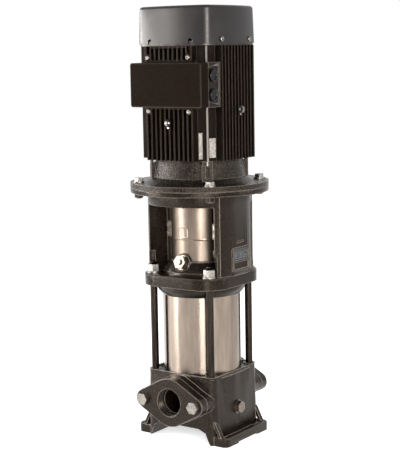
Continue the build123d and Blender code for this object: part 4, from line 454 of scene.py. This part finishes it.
def stay_bolt(centre_x, centre_y, low, high):
    """A bar closed at both ends by a chamfer. Over the last stretch under its top, the radius goes in by
    the thread's depth times wave(z / pitch - angle / turn)."""
    angle = np.linspace(0, 2 * np.pi, STAY_STEPS, endpoint=False)[None, :]
    shank = np.linspace(low + STAY_CHAMFER, high - M16_THREAD, SHANK_ROWS)
    threaded = np.arange(high - M16_THREAD, high - STAY_CHAMFER, M16_PITCH / PITCH_ROWS)
    heights = np.concatenate([[low, low], shank, threaded, [high, high]])[:, None]
    depth = np.clip((heights - high + M16_THREAD) / M16_PITCH, 0, 1) * M16_DEPTH
    radius = M16_RADIUS - depth * thread_wave(heights / M16_PITCH - angle / (2 * np.pi))
    radius[0], radius[-1] = 0.0, 0.0
    radius[1], radius[-2] = M16_RADIUS - STAY_CHAMFER, M16_RADIUS - STAY_CHAMFER - STAY_TIP
    points = stacked(centre_x + radius * np.cos(angle), centre_y + radius * np.sin(angle), heights)
    return points, woven(len(radius), STAY_STEPS)


# Steel bar dark from the rolling mill and oiled: near-black brown, with a lighter line where it shines. The
# marks of the mill run along it, and are drawn at 1 mm so that they show.
mill_steel = bare_metal("oiled_dark_drawn_steel", tones=("#1a1613", "#332d28"), patch=4.0, scratch=1.0,
                        depth=0.01, shine=(0.20, 0.30), patch_stretch=(1.0, 1.0, 0.08),
                        scratch_stretch=(1.0, 1.0, 0.1))
stay_low, stay_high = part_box("stay_bolts")
stay_out = stay_high.x - M16_RADIUS
bars = [stay_bolt(stay_out * x, stay_out * y, stay_low.z, stay_high.z) for x in (-1, 1) for y in (-1, 1)]
stay_mesh = surface_mesh("stay_bolts_threaded", bars)
stand_for(place_piece("stay_bolts_threaded", stay_mesh, mill_steel), "stay_bolts")


# Nuts, washers, bolts and screws. Cold-headed steel, zinc plated in a barrel. The terminal box and the
# fan cover are held by domed screws with a hexagon socket, four each.
SCREW_STEPS, DOME_ROWS, SHANK_RADIUS = 48, 8, 0.0028
BOX_SCREW_HEAD, COVER_SCREW_HEAD = 0.0030, 0.0026
SOCKET_FLAT, SOCKET_RIM = 0.0022, 0.0002
# The socket's floor and lip as shares of its width; its depth and the dome's height as shares of the head's
SOCKET_FLOOR, SOCKET_LIP, SOCKET_DEPTH, DOME_HEIGHT = 0.96, 1.12, 0.7, 0.55


def node_corners(node):
    """The places of a CAD node's vertices, one in each row."""
    corners = np.empty(len(frame["nodes"][node].data.vertices) * 3)
    frame["nodes"][node].data.vertices.foreach_get("co", corners)
    return corners.reshape(-1, 3)


def socket_screw(foot, way, length, head_radius, head):
    """A domed screw with a hexagon socket, turned round the unit vector way. Its profile runs from the
    socket's floor over the head to the shank's end; the socket's radius is flat / cos(angle from the
    nearest flat)."""
    angle = np.linspace(0, 2 * np.pi, SCREW_STEPS, endpoint=False)[None, :]
    socket = SOCKET_FLAT / np.cos((angle + np.pi / 6) % (np.pi / 3) - np.pi / 6)
    lip = socket * SOCKET_LIP
    dome = np.linspace(0, np.pi / 2, DOME_ROWS)[:, None]
    ring = np.ones_like(angle)
    radius = np.concatenate([0 * ring, socket * SOCKET_FLOOR, socket,
                             lip + (head_radius - lip) * np.sin(dome),
                             head_radius * ring, SHANK_RADIUS * ring, SHANK_RADIUS * ring, 0 * ring])
    deep, under = length - head * SOCKET_DEPTH, length - head
    rise = np.concatenate([[[deep], [deep], [length - SOCKET_RIM]],
                           length - head * DOME_HEIGHT * (1 - np.cos(dome)),
                           [[under], [under], [0.0], [0.0]]])
    side = np.cross(way, (0.0, 0.0, 1.0))
    over = np.cross(side, way)
    spread = radius[..., None] * (np.cos(angle)[..., None] * side + np.sin(angle)[..., None] * over)
    return foot + rise[..., None] * way + spread, woven(len(radius), SCREW_STEPS)


def socket_screws(node, axis, across, head):
    """One screw for each of a node's four, which lie one in each quarter of the plane across. Each
    quarter's box gives the screw's middle, its length and its head's radius; its head looks away from the
    pump's axis."""
    corners = node_corners(node)
    off = corners - (corners.min(0) + corners.max(0)) / 2
    screws = []
    for first in (-1, 1):
        for second in (-1, 1):
            quarter = corners[(first * off[:, across[0]] > 0) & (second * off[:, across[1]] > 0)]
            low, high = quarter.min(0), quarter.max(0)
            way = np.zeros(3)
            way[axis] = np.sign((low + high)[axis])
            foot = (low + high) / 2
            foot[axis] = low[axis] if way[axis] > 0 else high[axis]
            screws.append(socket_screw(foot, way, (high - low)[axis], (high - low)[2] / 2, head))
    mesh = surface_mesh(node + "_turned", screws)
    stand_for(place_piece(node + "_turned", mesh, barrel_zinc), node)


# Barrel-plated zinc: pale warm grey with duller patches. Its crystals are far finer than they can show, and
# are drawn 1.5 mm wide, as a soft mottle.
barrel_zinc = bare_metal("barrel_zinc_plated_steel", tones=("#67635d", "#918d86"), patch=4.0, scratch=1.5,
                         depth=0.16, shine=(0.30, 0.44))
rounded_copy("stay_bolt_nuts", 0.5, barrel_zinc)
rounded_copy("port_flange_bolts", 0.5, barrel_zinc)
rounded_copy("stay_bolt_washers", 0.0, barrel_zinc)
rounded_copy("motor_flange_washers", 0.0, barrel_zinc)
dress(barrel_zinc, "bracket_screws", "guard_screws", "coupling_screws", "lid_screws")
socket_screws("terminal_box_screws", 1, (0, 2), BOX_SCREW_HEAD)
socket_screws("fan_cover_screws", 0, (0, 1), COVER_SCREW_HEAD)


# The pump head. A second casting in the same iron, between the sleeve and the stool: its swelled ring holds
# the sleeve, its domed deck the shaft seal, and a boss at the inlet's side the vent plug.

# Its black paint is thicker than the base's: glossier and smoother, with the sand's grain drawn at 1.7 mm.
head_iron = painted_metal("black_paint_on_cast_iron_head", tones=("#040302", "#120e0b"), edge="#a79b8e",
                          patch=12.0, grain=1.7, depth=0.30, rounding=2.0, shine=(0.10, 0.20), level=0.25,
                          glint_specks=0.04)
rounded_copy("pump_head", 0.9, head_iron)


# The vent plug with its screw, and the drain plug. Hexagons turned from stainless bar, screwed in over
# dished washers; the seal's rings inside are turned from the same.

# Turned stainless steel: bright and cleanly cut, with its tool marks drawn at 1.1 mm so that they show.
turned_stainless = bare_metal("turned_stainless_plug", tones=("#665d54", "#887e74"), patch=5.0, scratch=1.1,
                              depth=0.06, shine=(0.22, 0.34))
rounded_copy("drain_plug", 0.6, turned_stainless)
rounded_copy("vent_plug", 0.6, turned_stainless)
rounded_copy("plug_washers", 0.0, turned_stainless)
rounded_copy("vent_screw", 0.0, turned_stainless)
dress(turned_stainless, "seal_plate", "seal_rotating_head")


# The motor stool. The open lantern between pump and motor, cast in the same iron: plate, two ribbed walls
# with wide windows, collar and the round flange, which bolts with nuts under it hold to the motor.
PAINT_FADE = 0.0005


# Black paint on sand-cast iron, with wide brown patches and a coarse grain, which is drawn at 2 mm to show.
stool_iron = painted_metal("black_paint_on_cast_iron_stool", tones=("#030201", "#160f0a"), edge="#9b8f83",
                           patch=22.0, grain=2.0, depth=0.38, rounding=2.0, shine=(0.12, 0.24), level=0.16,
                           glint_specks=0.05)
rounded_copy("motor_stool", 0.8, stool_iron)
rounded_copy("motor_flange_nuts", 0.4, stool_iron)

# The flange's bolts are bare zinc above its underside and near-black below it, like the nuts there.
bare_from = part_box("motor_flange_nuts")[1].z
zinc_dark_below_flange = barrel_zinc.copy()
zinc_dark_below_flange.name = "barrel_zinc_dark_below_flange"
bolt_tree = zinc_dark_below_flange.node_tree
bolt_shader = bolt_tree.nodes["Principled BSDF"]
bolt_zinc = bolt_shader.inputs["Base Color"].links[0].from_node
bolt_place = add_node(bolt_tree, "ShaderNodeTexCoord")
bolt_height = add_node(bolt_tree, "ShaderNodeSeparateXYZ", None, {0: (bolt_place, "Object")})
bare = add_node(bolt_tree, "ShaderNodeMapRange", {"From Min": bare_from, "From Max": bare_from + PAINT_FADE},
                {"Value": (bolt_height, "Z")})
dark_below_flange = add_node(bolt_tree, "ShaderNodeMix", {"data_type": "RGBA", MIX_FIRST: linear("#0a0705")},
                {"Factor": (bare, 0), MIX_SECOND: (bolt_zinc, MIX_RESULT)})
bolt_tree.links.new(dark_below_flange.outputs[MIX_RESULT], bolt_shader.inputs["Base Color"])
bolt_tree.links.new(bare.outputs[0], bolt_shader.inputs["Metallic"])
rounded_copy("motor_flange_bolts", 0.4, zinc_dark_below_flange)


# The frame plates. A plain plate of aluminium in the frame on each of the stool's long walls, pressed
# slightly domed, with a raised bead near its edge, and stuck on.
FRAME_PLATE_HALF, FRAME_PLATE_LOW, FRAME_PLATE_HIGH = 0.0255, 0.3965, 0.4165
FRAME_PLATE_X, FRAME_PLATE_DOME, FRAME_PLATE_SHEET = 0.1046, 0.0005, 0.0012
FRAME_PLATE_ROWS, FRAME_PLATE_COLUMNS = 25, 41
BEAD_INSET, BEAD_HALF, BEAD_PROUD = 0.0030, 0.0007, 0.0006


def frame_plate(side):
    """The plate's face: x = x0 + dome * (1 - s^2)(1 - t^2) + a bead along a line set in from its edge."""
    s = np.linspace(-1, 1, FRAME_PLATE_COLUMNS)[None, :]
    t = np.linspace(-1, 1, FRAME_PLATE_ROWS)[:, None]
    half_tall = (FRAME_PLATE_HIGH - FRAME_PLATE_LOW) / 2
    inset = np.minimum((1 - np.abs(s)) * FRAME_PLATE_HALF, (1 - np.abs(t)) * half_tall)
    bead = BEAD_PROUD * np.exp(-((inset - BEAD_INSET) / BEAD_HALF) ** 2)
    x = FRAME_PLATE_X + FRAME_PLATE_DOME * (1 - s ** 2) * (1 - t ** 2) + bead
    z = (FRAME_PLATE_LOW + FRAME_PLATE_HIGH) / 2 + half_tall * t
    points = stacked(side * x, FRAME_PLATE_HALF * s, z)
    return points, woven(FRAME_PLATE_ROWS, FRAME_PLATE_COLUMNS, wrap_columns=False)


# Anodised aluminium: blue-grey with a silky sheen, in patches from near-black to light grey that read as
# faint print, whose light parts are painted glints. Its satin is drawn at 1.2 mm.
blue_plate = bare_metal("blue_grey_anodised_aluminium", tones=("#191a1b", "#74777a"), patch=5.0, scratch=1.2,
                        depth=0.03, shine=(0.18, 0.30))
for name, side in (("frame_plate_right", 1), ("frame_plate_left", -1)):
    plate = place_piece(name, surface_mesh(name, [frame_plate(side)]), blue_plate)
    wall = plate.modifiers.new("sheet", "SOLIDIFY")
    wall.thickness, wall.offset = FRAME_PLATE_SHEET, 0.0
    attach(plate, body_names["motor_stool"])


# The coupling guards. Two bent stainless sheets per window, lapped along a seam, with a pressed square
# above it and screwed tabs at their edges. The lower edge clears the vent plug's boss.
GUARD_SHEET, GUARD_RADIUS, GUARD_HALF_ANGLE = 0.0012, 0.063, np.radians(60)
GUARD_COLUMNS, GUARD_ROWS, TAB_COLUMNS, TAB_ROWS = 121, 150, 41, 16
SEAM_HEIGHT, SEAM_STEP, SEAM_ROLL, LOWER_CORNER = 0.438, 0.0006, 0.0009, 0.006
PRESSED_HALF, PRESSED_CORNER, PRESSED_LINE = 0.0115, 0.004, 0.0012
PRESSED_PROUD, PRESSED_ABOVE = 0.0006, 0.0035
BOSS_HALF, BOSS_RISE, BOSS_TALL = 0.020, 0.3871, 0.0207
TAB_LOW, TAB_TALL, TAB_CORNER, TAB_LONG = 0.437, 0.035, 0.004, 0.0115
TAB_LAP, TAB_PROUD, TAB_SWELL = 0.001, 0.0004, 0.0005


def guard_sheet(bottom, top):
    """The bent sheet: x = r sin a, y = -r cos a. Its radius steps out over the seam, which is rolled to a
    bead, and rises along the outline of the pressed square. Its lower edge is round at the corners and
    arched over the boss by an ellipse."""
    angle = np.linspace(-GUARD_HALF_ANGLE, GUARD_HALF_ANGLE, GUARD_COLUMNS)[None, :]
    middle = GUARD_RADIUS - GUARD_SHEET / 2
    across, aside = middle * angle, middle * np.sin(angle)
    inset = np.clip(LOWER_CORNER - (middle * GUARD_HALF_ANGLE - np.abs(across)), 0, LOWER_CORNER)
    foot = bottom + LOWER_CORNER - np.sqrt(LOWER_CORNER ** 2 - inset ** 2)
    arch = BOSS_RISE + BOSS_TALL * np.sqrt(np.clip(1 - (aside / BOSS_HALF) ** 2, 0, 1))
    foot = np.maximum(foot, np.where(np.abs(aside) < BOSS_HALF, arch, bottom))
    z = foot + (top - foot) * np.linspace(0, 1, GUARD_ROWS)[:, None]
    seam = (z - SEAM_HEIGHT) / SEAM_ROLL
    corner_x = np.abs(across) - PRESSED_HALF + PRESSED_CORNER
    corner_z = np.abs(z - SEAM_HEIGHT - PRESSED_ABOVE - PRESSED_HALF) - PRESSED_HALF + PRESSED_CORNER
    rounded = np.hypot(np.maximum(corner_x, 0), np.maximum(corner_z, 0))
    outline = (rounded + np.minimum(np.maximum(corner_x, corner_z), 0) - PRESSED_CORNER) / PRESSED_LINE
    seam_rise = SEAM_STEP * np.exp(-seam ** 2) - SEAM_STEP / (1 + np.exp(2 * seam))
    radius = middle + seam_rise + PRESSED_PROUD * np.exp(-outline ** 2)
    points = stacked(radius * np.sin(angle), -radius * np.cos(angle), z)
    return points, woven(GUARD_ROWS, GUARD_COLUMNS, wrap_columns=False)


def guard_tab(side):
    """A screwed tab, flat along X from the sheet's edge. Its height shrinks by a quarter circle near its
    outer end, and it swells round its two screws by a cosine."""
    out = np.linspace(0, 1, TAB_ROWS)[:, None]
    share = np.linspace(-1, 1, TAB_COLUMNS)[None, :]
    inset = np.clip(TAB_CORNER - TAB_LONG * (1 - out), 0, TAB_CORNER)
    half = TAB_TALL / 2 - TAB_CORNER + np.sqrt(TAB_CORNER ** 2 - inset ** 2)
    swell = TAB_SWELL * np.cos(2 * np.pi * share) * np.sin(np.pi * out)
    x = side * (GUARD_RADIUS * np.sin(GUARD_HALF_ANGLE) - TAB_LAP + (TAB_LONG + TAB_LAP / 2) * out)
    y = swell - (GUARD_RADIUS * np.cos(GUARD_HALF_ANGLE) + TAB_PROUD)
    z = TAB_LOW + TAB_TALL / 2 + half * share
    return stacked(x, y, z), woven(TAB_ROWS, TAB_COLUMNS, wrap_columns=False)


# Pressed stainless sheet: warm grey, thin and slightly wavy from the bending. Its rolling lines run
# upright and are drawn at 1.2 mm so that they show.
pressed_stainless = bare_metal("pressed_stainless_sheet", tones=("#655a50", "#786c61"), patch=12.0,
                               scratch=1.2, depth=0.006, shine=(0.28, 0.36),
                               patch_stretch=(1.0, 1.0, 0.15), scratch_stretch=(1.0, 1.0, 0.3))
for node, turned_round in (("coupling_guard_front", 1), ("coupling_guard_rear", -1)):
    low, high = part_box(node)
    sheets = [guard_sheet(low.z, high.z), guard_tab(1), guard_tab(-1)]
    sheets = [(points * [turned_round, turned_round, 1], quads) for points, quads in sheets]
    guard = place_piece(node + "_bent", surface_mesh(node + "_bent", sheets), pressed_stainless)
    wall = guard.modifiers.new("sheet", "SOLIDIFY")
    wall.thickness, wall.offset = GUARD_SHEET, 0.0
    stand_for(guard, node)


# Inside the pump. Ground shaft, cast iron coupling halves, laser-welded impellers, chambers and vanes of
# stainless sheet, and the seal's plate. They show through the stool's windows and when the pump is opened.

# Ground steel: bright and smooth, with grinding lines round the shaft, drawn at 1.2 mm so that they show.
ground_steel = bare_metal("ground_shaft_steel", tones=("#a19c95", "#c4beb6"), patch=6.0, scratch=1.2,
                          depth=0.004, shine=(0.16, 0.28), scratch_stretch=(0.1, 0.1, 1.0))
dress(ground_steel, "pump_shaft", "motor_shaft", "coupling_pin", "bearing_outer_rings",
      "bearing_inner_rings", "bearing_balls")
# Machined cast iron, blackened in oil: dark brown-grey with lighter edges, part wear and part painted
# highlight, and a fine 0.9 mm grain.
machined_iron = painted_metal("blackened_machined_iron", tones=("#171412", "#2b2724"), edge="#8f877e",
                              patch=8.0, grain=0.9, depth=0.06, rounding=1.0, shine=(0.25, 0.4), level=0.35)
dress(machined_iron, "coupling_half_front", "coupling_half_rear")
# Deep-drawn stainless sheet: pale, clean metal, with its drawing marks at 1.1 mm so that they show.
drawn_stainless = bare_metal("drawn_stainless_sheet", tones=("#8f867d", "#b4aca2"), patch=10.0, scratch=1.1,
                             depth=0.010, shine=(0.2, 0.36))
dress(drawn_stainless, "inlet_part", "stage_chambers", "guide_vanes", "outlet_part", "stack_straps",
      "impellers", "impeller_spacers")


# The motor's drive-end bracket. Sand-cast iron: the round flange on the stool, a waisted neck with grooved
# posts, and the drive-end bearing's seat.

# The motor's black paint on it is rough and pitted, and its grain, drawn at 2.4 mm, catches the light,
# with pale painted glints on its highest points.
bracket_iron = painted_metal("motor_paint_on_sand_cast_iron", tones=("#040302", "#110d0a"), edge="#8d8277",
                             patch=8.0, grain=2.4, depth=1.20, rounding=2.0, shine=(0.18, 0.32), level=0.18,
                             glint_specks=0.17)
rounded_copy("drive_end_bracket", 0.7, bracket_iron)


# The motor's housing. Die-cast aluminium with upright cooling fins on four sides and plain lobes at the
# corners, where a ridge runs up each. Four plated steel lugs for lifting stand between the fins.

# The ridges stand furthest out on the diagonals. Their tips are painted a pale grey highlight, drawn as
# paint worn to its primer, where the smaller of |x| and |y| passes from the first of these distances to
# the second.
RIDGE_HIGHLIGHT_FROM, RIDGE_HIGHLIGHT_TO = 0.0758, 0.0768


# Flat black paint: almost no shine, and the fins' tips are brown, part rubbed paint and part painted
# highlight. Its orange peel is 1.6 mm wide.
housing_paint = painted_metal("flat_black_paint_on_die_cast_aluminium", tones=("#040302", "#0c0806"),
                              edge="#584b3e", patch=18.0, grain=1.6, depth=0.20, rounding=1.4,
                              shine=(0.40, 0.55), level=0.045, glint_specks=0.02)
housing_tree = housing_paint.node_tree
housing_shader = housing_tree.nodes["Principled BSDF"]
housing_black = housing_shader.inputs["Base Color"].links[0].from_node
housing_place = add_node(housing_tree, "ShaderNodeTexCoord")
housing_axes = add_node(housing_tree, "ShaderNodeSeparateXYZ", None, {0: (housing_place, "Object")})
off_x = add_node(housing_tree, "ShaderNodeMath", {"operation": "ABSOLUTE"}, {0: (housing_axes, "X")})
off_y = add_node(housing_tree, "ShaderNodeMath", {"operation": "ABSOLUTE"}, {0: (housing_axes, "Y")})
diagonal = add_node(housing_tree, "ShaderNodeMath", {"operation": "MINIMUM"}, {0: (off_x, 0), 1: (off_y, 0)})
ridge_highlight = add_node(housing_tree, "ShaderNodeMapRange", {"From Min": RIDGE_HIGHLIGHT_FROM, "From Max": RIDGE_HIGHLIGHT_TO},
                {"Value": (diagonal, 0)})
# The ridges' tips: a painted highlight of pale grey.
ridge_highlight_tone = add_node(housing_tree, "ShaderNodeMix", {"data_type": "RGBA", MIX_SECOND: linear("#76716c")},
                  {"Factor": (ridge_highlight, 0), MIX_FIRST: (housing_black, MIX_RESULT)})
housing_tree.links.new(ridge_highlight_tone.outputs[MIX_RESULT], housing_shader.inputs["Base Color"])
rounded_copy("motor_housing", 0.7, housing_paint)
rounded_copy("lifting_lugs", 0.8, barrel_zinc)


# Three plain plates on the housing's lobes. Thin sheet aluminium with a low bead near the edge, bent to the
# lobe and stuck on.
LOBE_RADIUS, LOBE_PLATE_PROUD, LOBE_PLATE_SHEET = 0.106, 0.0009, 0.0006
LOBE_BEAD_INSET, LOBE_BEAD_HALF, LOBE_BEAD_PROUD = 0.0014, 0.0006, 0.0003
LOBE_PLATE_ROWS, LOBE_PLATE_COLUMNS = 41, 25
# Azimuth of each plate's two sides from the inlet towards the drain plug, and its two heights
LOBE_PLATES = {
    "narrow_plate": (35.0, 39.6, 0.6136, 0.6697),
    "wide_plate": (46.9, 55.0, 0.6165, 0.6580),
    "left_plate": (-54.6, -47.5, 0.645, 0.682),
}


def lobe_plate(start, end, low, high):
    """A plate round the lobe: x = r sin a, y = -r cos a, where r rises over the bead by a bell curve."""
    angle = np.radians(np.linspace(start, end, LOBE_PLATE_COLUMNS))[None, :]
    z = np.linspace(low, high, LOBE_PLATE_ROWS)[:, None]
    from_side = np.minimum(angle - angle.min(), angle.max() - angle) * LOBE_RADIUS
    inset = np.minimum(from_side, np.minimum(z - low, high - z))
    bead = LOBE_BEAD_PROUD * np.exp(-((inset - LOBE_BEAD_INSET) / LOBE_BEAD_HALF) ** 2)
    radius = LOBE_RADIUS + LOBE_PLATE_PROUD + bead
    points = stacked(radius * np.sin(angle), -radius * np.cos(angle), z)
    return points, woven(LOBE_PLATE_ROWS, LOBE_PLATE_COLUMNS, wrap_columns=False)


# Satin anodised aluminium, dull with age: mid grey patches and a soft sheen. Its satin is drawn at 1.2 mm.
plate_aluminium = bare_metal("satin_anodised_aluminium_plate", tones=("#4f4b47", "#7c7770"), patch=4.0,
                             scratch=1.2, depth=0.03, shine=(0.42, 0.55))
for name, (start, end, low_z, high_z) in LOBE_PLATES.items():
    plate = place_piece(name, surface_mesh(name, [lobe_plate(start, end, low_z, high_z)]), plate_aluminium)
    wall = plate.modifiers.new("sheet", "SOLIDIFY")
    wall.thickness, wall.offset = LOBE_PLATE_SHEET, -1.0
    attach(plate, body_names["motor_housing"])


# The terminal box. Die-cast body seated on the housing's pad, with a flat lid in a browner paint, two
# plugged cable entries in its sunk side panel, and inside a moulded board with brass studs.

# Black paint on a smooth die casting: even and satin, with small pale edges, part rubs and part painted
# highlight, and a 1.4 mm grain.
box_paint = painted_metal("black_paint_on_die_cast_box", tones=("#080605", "#15100d"), edge="#857b72",
                          patch=15.0, grain=1.4, depth=0.15, rounding=1.8, shine=(0.30, 0.42), level=0.14,
                          glint_specks=0.03)
rounded_copy("terminal_box_base", 0.6, box_paint)
# The lid's paint is browner and flatter, so that it stays dark under the light from above.
lid_paint = painted_metal("brown_black_paint_on_die_cast_lid", tones=("#0c0704", "#140d08"), edge="#948779",
                          patch=30.0, grain=1.6, depth=0.12, rounding=2.2, shine=(0.50, 0.62), level=0.015,
                          glint_specks=0.03)
rounded_copy("terminal_box_lid", 0.7, lid_paint)
# Moulded nylon: deep black and glossy, so that the plugs' rims glint. Its texture is drawn at 1.1 mm.
moulded_nylon = moulded("moulded_black_nylon", tones=("#020202", "#050505"), grain=1.1, depth=0.03,
                        shine=(0.06, 0.12), level=0.22)
rounded_copy("cable_entry_plugs", 2.2, moulded_nylon)
dress(moulded_nylon, "terminal_board", "cooling_fan")
# Turned brass: clear yellow metal with tool marks 0.9 mm apart, coarser than real so that they show.
studs_brass = bare_metal("turned_terminal_brass", tones=("#a8853f", "#cdaa62"), patch=4.0, scratch=0.9,
                         depth=0.01, shine=(0.2, 0.35))
dress(studs_brass, "terminal_studs")


# The fan cover. Deep-drawn steel sheet, bowed on its four sides, slotted on top and screwed to the housing.
# Its skirt's edge is stepped in by a sheet, and stands on the housing.
JOGGLE_INSET, JOGGLE_SHEET, JOGGLE_UP, JOGGLE_STEPS = 0.0031, 0.0012, 0.006, 180
SKIRT_EDGE, SEAT_GAP, OUTLINE_REACH = 0.0004, 0.0001, np.radians(3.2)


def joggled_edge():
    """A flat band round Z, from the housing up into the skirt. Its radius at each angle is that of the
    skirt's lowest corners near the angle, evened over three neighbours, less an even inset."""
    corners = node_corners("fan_cover")
    edge = corners[corners[:, 2] < corners[:, 2].min() + SKIRT_EDGE]
    turn, reach = np.arctan2(edge[:, 1], edge[:, 0]), np.hypot(edge[:, 0], edge[:, 1])
    angle = np.linspace(-np.pi, np.pi, JOGGLE_STEPS, endpoint=False)
    near = np.abs(np.angle(np.exp(1j * (turn[:, None] - angle[None, :])))) < OUTLINE_REACH
    outline = np.where(near, reach[:, None], 0).max(0)
    outline = (np.roll(outline, 1) + outline + np.roll(outline, -1)) / 3
    low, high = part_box("motor_housing")[1].z + SEAT_GAP, edge[:, 2].min() + JOGGLE_UP
    inset = JOGGLE_INSET + JOGGLE_SHEET * np.array([0, 0, 1, 1])[:, None]
    z = np.array([low, high, high, low])[:, None]
    radius = outline[None, :] - inset
    points = stacked(radius * np.cos(angle), radius * np.sin(angle), z)
    return points, woven(len(z), JOGGLE_STEPS, wrap_rows=True)


# Satin black paint that has flowed smooth and so carries broad soft reflections of the room: there is no
# grain to be seen, only faint clouds 40 mm across.
cover_paint = painted_metal("satin_black_paint_on_drawn_sheet", tones=("#0c0b0c", "#151415"), edge="#2c2927",
                            patch=40.0, grain=2.5, depth=0.012, rounding=1.0, shine=(0.33, 0.38), level=0.36,
                            tint="#fff6ef")
rounded_copy("fan_cover", 0.0, cover_paint)
joggle_mesh = surface_mesh("fan_cover_seat_edge", [joggled_edge()])
joggle = place_piece("fan_cover_seat_edge", joggle_mesh, cover_paint)
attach(joggle, body_names["fan_cover"])


# Inside the motor. A stator and a rotor of stamped electrical steel sheets, varnished and pressed in a
# stack, windings of enamelled copper, and the fan-end shield in the housing's paint.
# A wave texture's lines are this many millimetres apart at a scale of 1. The lines' depth is in millimetres.
WAVE_AT_SCALE_1, LINE_DEPTH = 314.0, 0.1


def laminated(name, tones, sheet):
    """A stack of sheets or wires: a wave of one sheet's thickness along Z gives the lines between them."""
    material, tree, shader = new_material(name, {"Metallic": 1.0, "Roughness": 0.45})
    here = {"Vector": (add_node(tree, "ShaderNodeTexCoord"), "Object")}
    sheets = add_node(tree, "ShaderNodeTexWave",
                      {"bands_direction": "Z", "Scale": WAVE_AT_SCALE_1 / sheet, "Distortion": 0.3}, here)
    tone = add_node(tree, "ShaderNodeMix",
                    {"data_type": "RGBA", MIX_FIRST: linear(tones[0]), MIX_SECOND: linear(tones[1])},
                    {"Factor": (sheets, 1)})
    lines = add_node(tree, "ShaderNodeBump", {"Strength": 1.0, "Distance": LINE_DEPTH / MM_IN_METRE},
                     {"Height": (sheets, 1)})
    tree.links.new(tone.outputs[MIX_RESULT], shader.inputs["Base Color"])
    tree.links.new(lines.outputs[0], shader.inputs["Normal"])
    return material


# Stacked steel: grey with fine dark lines. The sheets are 0.5 mm thick, and drawn at 1 mm to show.
lamination_steel = laminated("stacked_electrical_steel", tones=("#5b5853", "#8f8b84"), sheet=1.0)
dress(lamination_steel, "stator_core", "rotor_core")
# Enamelled copper: red-brown wires with a varnished shine, 1.5 mm apart as they are wound.
enamelled_copper = laminated("enamelled_copper_winding", tones=("#7a3b1b", "#c27a45"), sheet=1.5)
dress(enamelled_copper, "stator_windings")
dress(housing_paint, "fan_end_shield")
